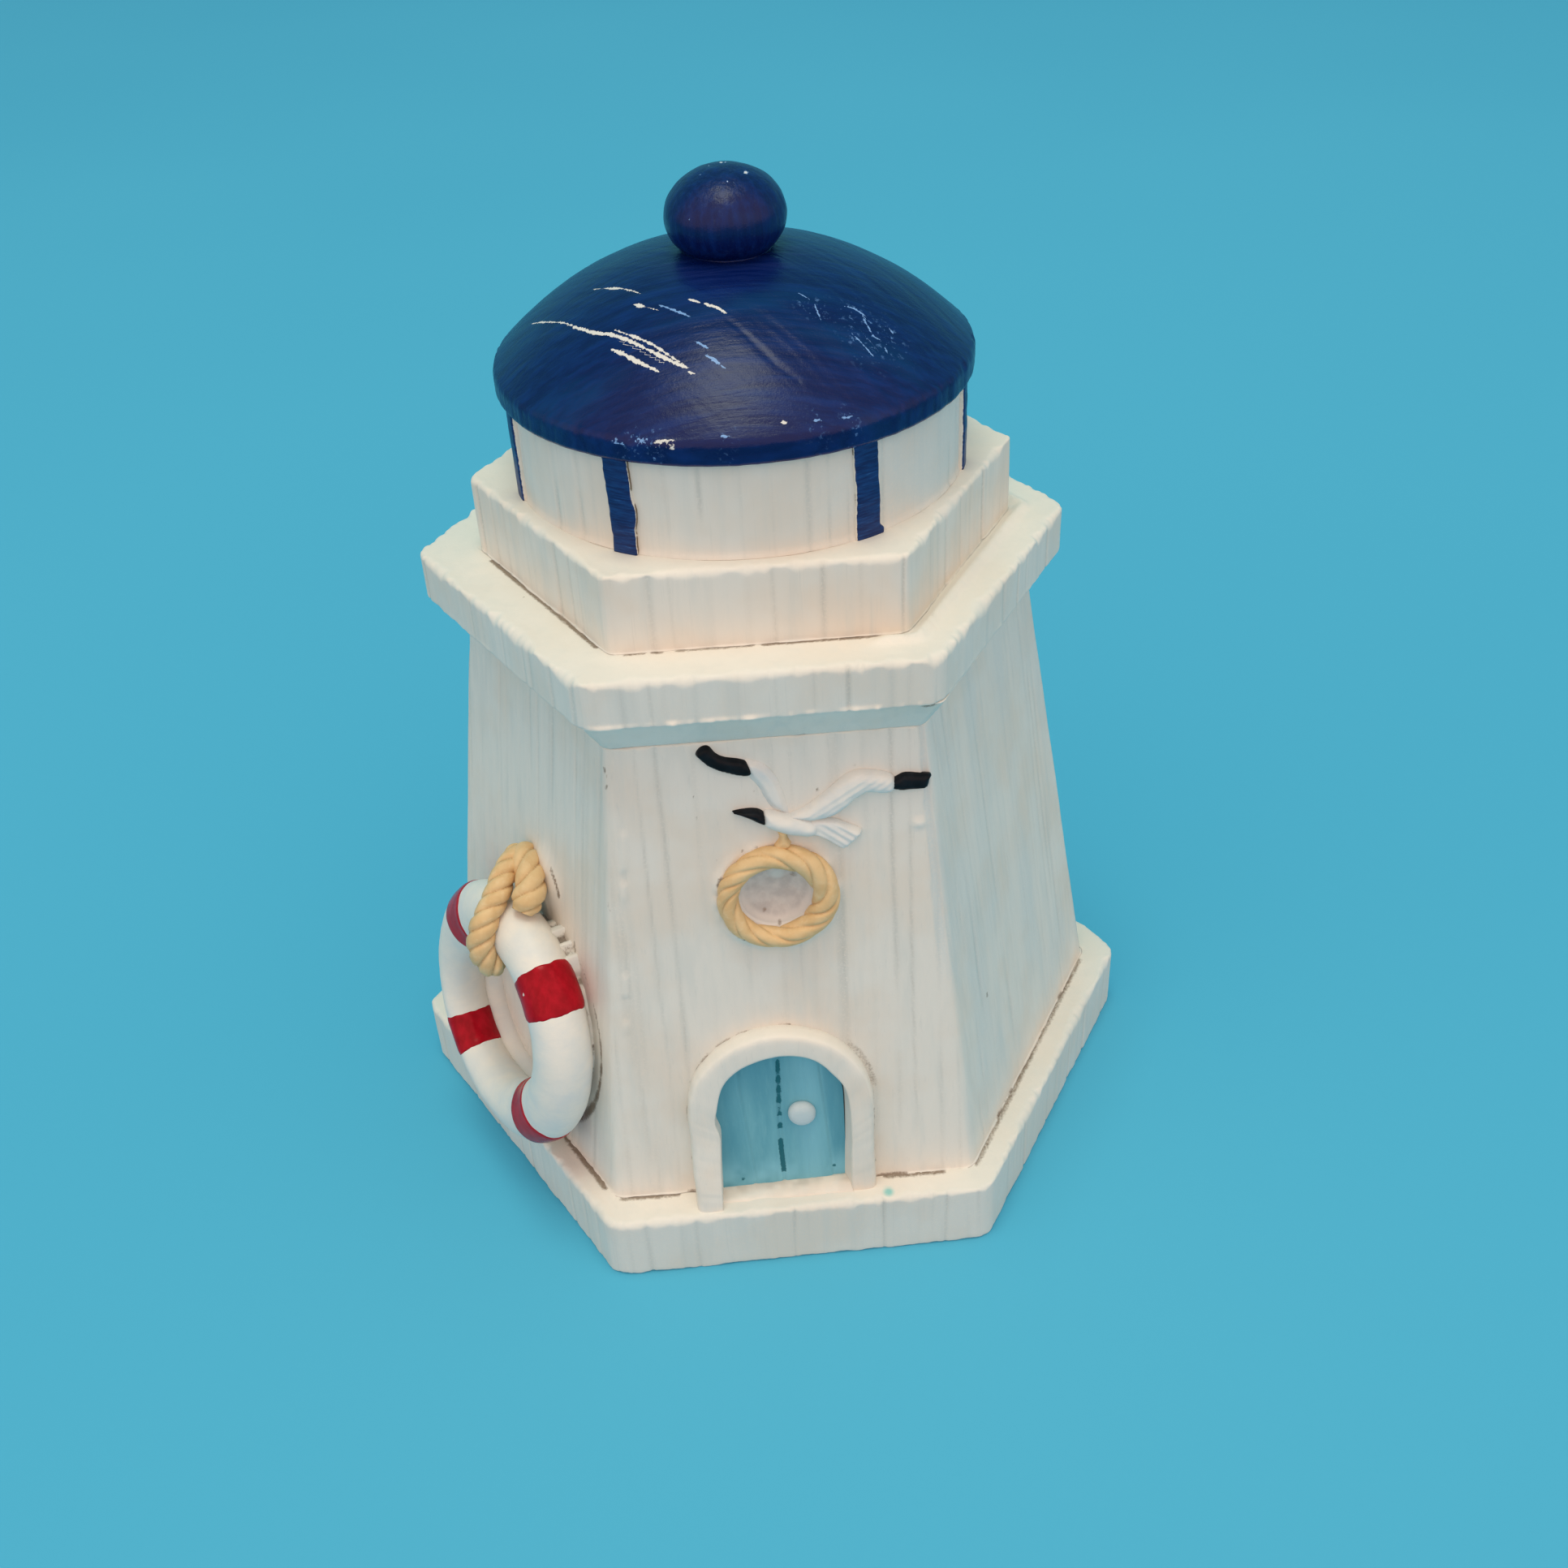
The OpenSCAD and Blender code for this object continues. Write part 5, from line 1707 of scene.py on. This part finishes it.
# Outlines on the front wall, right and up in mm
GULL_OUTLINES = {
    "body": [
        (-0.45, 34.6), (-0.55, 33.95), (-0.5, 33.45), (0.2, 33.0), (1.1, 32.6), (2.0, 32.4),
        (2.7, 32.3), (3.3, 32.5), (3.4, 33.2), (2.9, 33.7), (2.0, 34.05), (1.0, 34.3),
        (0.2, 34.55),
    ],
    "left_wing": [
        (1.3, 34.1), (0.3, 34.6), (-0.3, 35.4), (-0.7, 36.4), (-1.25, 37.2), (-1.6, 38.0),
        (-1.5, 38.75), (-0.3, 38.3), (0.5, 37.3), (0.9, 36.3), (1.15, 35.2),
    ],
    "left_tip": [
        (-5.0, 39.45), (-4.6, 40.0), (-4.05, 40.05), (-3.6, 39.45), (-3.0, 39.1), (-1.6, 38.7),
        (-1.15, 37.95), (-1.3, 37.5), (-2.2, 37.6), (-3.1, 37.9), (-4.1, 38.4), (-4.6, 38.9),
    ],
    "right_wing": [
        (1.2, 34.05), (2.65, 34.75), (4.15, 35.85), (5.5, 36.95), (6.5, 37.25), (8.0, 37.05),
        (8.95, 36.5), (8.9, 35.5), (8.0, 35.35), (7.0, 35.5), (6.2, 35.1), (5.4, 34.4),
        (4.4, 33.8), (3.0, 33.55), (2.0, 33.7),
    ],
    "right_tip": [
        (8.75, 36.2), (9.3, 36.6), (9.8, 36.75), (10.8, 36.6), (11.6, 36.45), (11.5, 36.05),
        (11.25, 35.45), (10.2, 35.4), (8.9, 35.5),
    ],
    "tail": [
        (2.5, 33.6), (3.5, 33.7), (4.5, 33.5), (5.5, 33.0), (6.5, 32.4), (6.1, 31.8),
        (5.7, 31.45), (5.25, 31.1), (4.8, 31.2), (3.9, 31.9), (3.0, 32.35), (2.4, 32.7),
    ],
    "face": [
        (-2.75, 34.7), (-1.75, 34.87), (-0.85, 34.75), (-0.42, 34.3), (-0.45, 33.5),
        (-1.4, 34.0), (-2.1, 34.4),
    ],
}


def build_gull():
    """The seven raised shapes of the gull."""
    white, black = MATERIALS["white"], MATERIALS["black"]

    def body(u, v, edge):
        return 0.08 + dome_profile(edge, 0.8, 0.95) + 0.04 * fbm(u / 0.8, v / 0.5, 0, 2, 111)

    def wing_left(u, v, edge):
        soft = smooth(edge, 0, 0.45)
        return 0.02 + 0.34 * soft + 0.04 * fbm(u / 0.8, v / 0.8, 0, 3, 112)

    def wing_right(u, v, edge):
        along = (u - 1.3) * 0.82 + (v - 34) * 0.45
        lines = 0.03 * np.sin((v - 0.62 * u) * 12.0)
        raised = 0.05 + dome_profile(edge, 0.75, 0.85) + lines * smooth(edge, 0.1, 0.4)
        return raised + 0.03 * noise(along / 0.6, v, 0, 113)

    def tail(u, v, edge):
        ribs = 0.06 * np.sin((0.70 * u + 0.9 * v) * 11.0)
        fan = smooth(u, 2.6, 4.6)
        return 0.06 + dome_profile(edge, 0.35, 0.62) + ribs * fan * smooth(edge, 0.05, 0.3)

    def tip(u, v, edge):
        return 0.05 + dome_profile(edge, 0.4, 0.5) + 0.05 * fbm(u / 0.6, v / 0.6, 0, 2, 114)

    def face(u, v, edge):
        return 0.06 + dome_profile(edge, 0.45, 0.72) + 0.04 * noise(u / 0.4, v / 0.4, 0, 115)

    parts = [
        ("body", body, white, "white_paint", FLAT_STEP),
        ("left_wing", wing_left, white, "white_paint", FLAT_STEP),
        ("left_tip", tip, black, "black_gloss", FLAT_STEP),
        ("right_wing", wing_right, white, "white_paint", FLAT_STEP),
        ("right_tip", tip, black, "black_gloss", FLAT_STEP),
        ("tail", tail, white, "white_paint", FLAT_STEP),
        ("face", face, black, "black_gloss", FINE_STEP),
    ]
    for part, height, paint, slot, step in parts:
        node = "gull_" + part
        relief(node + "_relief", node, GULL_OUTLINES[part], height, paint, slot, step)


def build_tab():
    """Small rope-coloured tab between the wreath and the gull."""
    def height(u, v, edge):
        return 0.05 + dome_profile(edge, 0.3, 0.6)

    relief(
        "wreath_tab_relief", "wreath_tab",
        [
            (0.4, 32.75), (1.1, 32.75), (1.1, 32.1), (1.35, 31.55), (1.0, 31.2), (0.4, 31.2),
            (0.1, 31.5), (0.5, 32.1),
        ],
        height, MATERIALS["rope"], "rope_tan", FINE_STEP, drop=0.0,
    )


# ---------------------------------------------------------------- life ring


def tube_points(around, t, extra=0.0):
    """Hand-made tube: thin at its lower back, thick at its upper back and lower front."""
    c, s = np.cos(around), np.sin(around)
    across = 2.26 + 0.25 * c + 0.25 * s - 0.09 * np.cos(2 * around) - 0.45 * np.sin(2 * around)
    through = 2.13 + 0.19 * c + 0.06 * s
    lump = 0.06 * fbm(c * 2.4, s * 2.4, np.cos(t) * 0.9, 2, 121)
    lump = lump + 0.03 * fbm(c * 7, s * 7, np.sin(t) * 2.0, 2, 122) + extra
    reach = ring_outline(around) + (across + lump) * np.cos(t)
    return np.stack([reach * c, reach * s, (through + lump) * np.sin(t)], -1)


def build_life_ring():
    """Hand-made oval ring with brown wash where it meets the wall."""
    rings, sections = 360, 72
    turns = np.linspace(0, 2 * np.pi, rings, endpoint=False)
    around, t = np.meshgrid(turns, np.linspace(0, 2 * np.pi, sections, endpoint=False), indexing="ij")
    points = tube_points(around, t)
    behind = smooth(-np.sin(t), 0.70, 0.95)
    smear = fbm(np.cos(around) * 9, np.sin(around) * 9, t, 3, 123)
    wash = 0.8 * behind * smooth(smear, -0.4, 0.2)
    add_piece(
        "life_ring_body", moved(points.reshape(-1, 3), RING),
        grid_faces(rings, sections, wrap=True, close_rows=True), MATERIALS["ring"],
        ["life_ring"], {"wash": wash.ravel()},
    )


def build_band(node, at, seed):
    """One red band: a thin sleeve round the ring's tube with ragged ends."""
    rows, sections = 40, 90
    t = np.linspace(0, 2 * np.pi, sections, endpoint=False)
    half = math.radians(BAND_WIDTH / 2)
    ragged_a = 0.012 * fbm(np.cos(t) * 3, np.sin(t) * 3, seed, 3, seed)
    ragged_b = 0.012 * fbm(np.cos(t) * 3, np.sin(t) * 3, seed + 5.5, 3, seed + 2)
    points, chips = [], []
    outside = [(k / rows, True) for k in range(rows + 1)]
    for s, is_outside in outside + [(s, False) for s, _ in reversed(outside)]:
        around = math.radians(at) + (-half + ragged_a) * (1 - s) + (half + ragged_b) * s
        lift = 0.075 * min(1.0, 9 * s, 9 * (1 - s)) ** 0.5 if is_outside else -0.15
        points.append(tube_points(around, t, lift))
        gap = np.hypot((s - 0.62) / 0.06, (t - 1.35) / 0.09)
        is_chipped = is_outside and node == "ring_band_front_top"
        chips.append(0.9 * np.exp(-(gap**2)) * is_chipped)
    add_piece(
        node + "_paint", moved(np.concatenate(points), RING),
        grid_faces(2 * rows + 2, sections, wrap=True, close_rows=True), MATERIALS["red"],
        [node], {"chip": np.concatenate(chips)},
    )


def build_ring_mount():
    """Web between the tube and the wall, with lumps of casting at its upper front."""
    count = 360
    turn = np.linspace(0, 2 * np.pi, count, endpoint=False)
    section = [
        (-1.7, -3.5), (-1.5, -2.5), (-1.25, -1.8), (-0.6, -1.4), (0.0, -1.4), (0.2, -1.5),
        (0.3, -1.75), (0.35, -2.1), (0.4, -2.5), (0.45, -3.0), (0.5, -3.5),
    ]
    lumps = np.exp(-((np.angle(np.exp(1j * (turn - 1.08))) / 0.24) ** 2))
    knob = smooth(noise(turn * 15, 0.5, 0.0, 131), -0.25, 0.25)
    points, wash = [], []
    for offset, z in section:
        outer = 1.0 if offset > 0.1 else 0.0
        uneven = 0.10 * fbm(np.cos(turn) * 7, np.sin(turn) * 7, z, 3, 132)
        r = ring_outline(turn) + offset + uneven + outer * 1.7 * lumps * (0.35 + 0.65 * knob)
        height = z + outer * 0.75 * lumps * knob * (z > -2.9)
        points.append(np.column_stack([r * np.cos(turn), r * np.sin(turn), height + 0 * r]))
        smear = fbm(np.cos(turn) * 8, np.sin(turn) * 8, z, 3, 133)
        crevice = outer * (1 - lumps * knob) * smooth(smear, -0.5, 0.2)
        wash.append(np.clip(0.95 * crevice + 0.8 * outer * (1 - knob) * lumps, 0, 1))
    add_piece(
        "ring_mount_web", moved(np.concatenate(points), RING),
        [f[::-1] for f in grid_faces(len(section), count, wrap=True, close_rows=True)],
        MATERIALS["ring"], ["ring_mount"], {"wash": np.concatenate(wash)},
    )


# ---------------------------------------------------------------- build everything

build_plinth()
build_tower()
build_moulding()
build_gallery()
build_tier()
build_drum()
for seed, (node, at) in enumerate(MULLIONS.items()):
    build_mullion(node, at, seed * 3 + 1)
build_dome()
build_ball()
build_surround()
build_door()
build_knob()
build_sill()
build_dish()
build_wreath()
build_tab()
build_gull()
build_ring_mount()
build_life_ring()
for seed, (node, at) in enumerate(BAND_ANGLES.items()):
    build_band(node, at, seed * 7 + 140)
build_ring_rope()

# ---------------------------------------------------------------- stage, light, camera


def floor_material():
    """Matt pale blue card with a faint change of tone."""
    n = Nodes("pale_blue_card")
    soft = n.noise(0.004, detail=2)
    fine = n.noise(0.5, detail=3)
    color = n.mix(n.ramp(soft, 0.3, 0.7), (0.086, 0.450, 0.655), (0.092, 0.465, 0.670))
    return n.finish(color, n.math("ADD", n.math("MULTIPLY", fine, 0.1), 0.75), Specular_IOR_Level=0.1)


def build_stage():
    """Plain card that the figurine stands on."""
    mesh = bpy.data.meshes.new("table_top")
    half = 3.0
    mesh.from_pydata(
        [(-half, -half, 0), (half, -half, 0), (half, half, 0), (-half, half, 0)], [],
        [(0, 1, 2, 3)],
    )
    mesh.materials.append(floor_material())
    table = bpy.data.objects.new("table_top", mesh)
    bpy.context.scene.collection.objects.link(table)


WORLD_BACK = (0.11, 0.42, 0.50)
WORLD_FRONT = (1.16, 0.94, 0.85)
# How far behind and in front of the object the room changes from one colour to the other
BLEND_FROM = 0.35
BLEND_TO = -0.45

PANEL_PLACE = (-0.03, -0.06, 0.75)
PANEL_AIM = (0, 0, 0.04)
PANEL_SIZE = 0.30
PANEL_POWER = 1.75
PANEL_COLOR = (0.94, 0.98, 0.82)


def area_light(name, place, target, size, power, color):
    """A square soft light at a place, aimed at a point."""
    light = bpy.data.lights.new(name, "AREA")
    light.shape = "SQUARE"
    light.size = size
    light.energy = power
    light.color = color
    lamp = bpy.data.objects.new(name, light)
    bpy.context.scene.collection.objects.link(lamp)
    lamp.location = place
    aim = Vector(target) - Vector(place)
    lamp.rotation_euler = aim.to_track_quat("-Z", "Y").to_euler()


def build_light():
    """A room that is pale in front and teal behind, with a soft panel above."""
    world = bpy.data.worlds.new("studio")
    bpy.context.scene.world = world
    world.use_nodes = True
    tree = world.node_tree
    room = tree.nodes["Background"]
    coords = tree.nodes.new("ShaderNodeTexCoord")
    direction = tree.nodes.new("ShaderNodeSeparateXYZ")
    tree.links.new(coords.outputs["Generated"], direction.inputs[0])
    frontness = tree.nodes.new("ShaderNodeMapRange")
    frontness.inputs["From Min"].default_value = BLEND_FROM
    frontness.inputs["From Max"].default_value = BLEND_TO
    tree.links.new(direction.outputs["Y"], frontness.inputs["Value"])
    blend = tree.nodes.new("ShaderNodeMix")
    blend.data_type = "RGBA"
    tree.links.new(frontness.outputs[0], blend.inputs[0])
    blend.inputs[6].default_value = (*WORLD_BACK, 1)
    blend.inputs[7].default_value = (*WORLD_FRONT, 1)
    tree.links.new(blend.outputs[2], room.inputs["Color"])
    room.inputs["Strength"].default_value = 1.0
    area_light("overhead", PANEL_PLACE, PANEL_AIM, PANEL_SIZE, PANEL_POWER, PANEL_COLOR)


# Where the camera stands: degrees round the object, above the table and about its own axis
CAMERA_TURN = -2.266
CAMERA_TILT = 35.535
CAMERA_ROLL = -3.158
CAMERA_REACH = 0.1441
AIM_SIDE = 0.00188
AIM_HEIGHT = 0.02768
SENSOR_WIDTH = 36
LENS = 38.64
CLIP_START = 0.005


def build_camera():
    """Camera above the front, a little to its left, turned slightly about its own axis."""
    turn, tilt, roll = (math.radians(a) for a in (CAMERA_TURN, CAMERA_TILT, CAMERA_ROLL))
    aim = Vector((AIM_SIDE * math.cos(turn), AIM_SIDE * math.sin(turn), AIM_HEIGHT))
    back = Vector((math.sin(turn) * math.cos(tilt), -math.cos(turn) * math.cos(tilt), math.sin(tilt)))
    right = Vector((math.cos(turn), math.sin(turn), 0))
    up = back.cross(right)
    side = right * math.cos(roll) + up * math.sin(roll)
    top = -right * math.sin(roll) + up * math.cos(roll)
    place = aim + back * CAMERA_REACH
    camera = bpy.data.cameras.new("camera")
    camera.sensor_width = SENSOR_WIDTH
    camera.lens = LENS
    camera.clip_start = CLIP_START
    rig = bpy.data.objects.new("camera", camera)
    bpy.context.scene.collection.objects.link(rig)
    m = Matrix.Identity(4)
    for k, axis in enumerate((side, top, back)):
        for row in range(3):
            m[row][k] = axis[row]
    for row in range(3):
        m[row][3] = place[row]
    rig.matrix_world = m
    bpy.context.scene.camera = rig


build_stage()
build_light()
build_camera()
bpy.context.scene.view_settings.view_transform = "Standard"
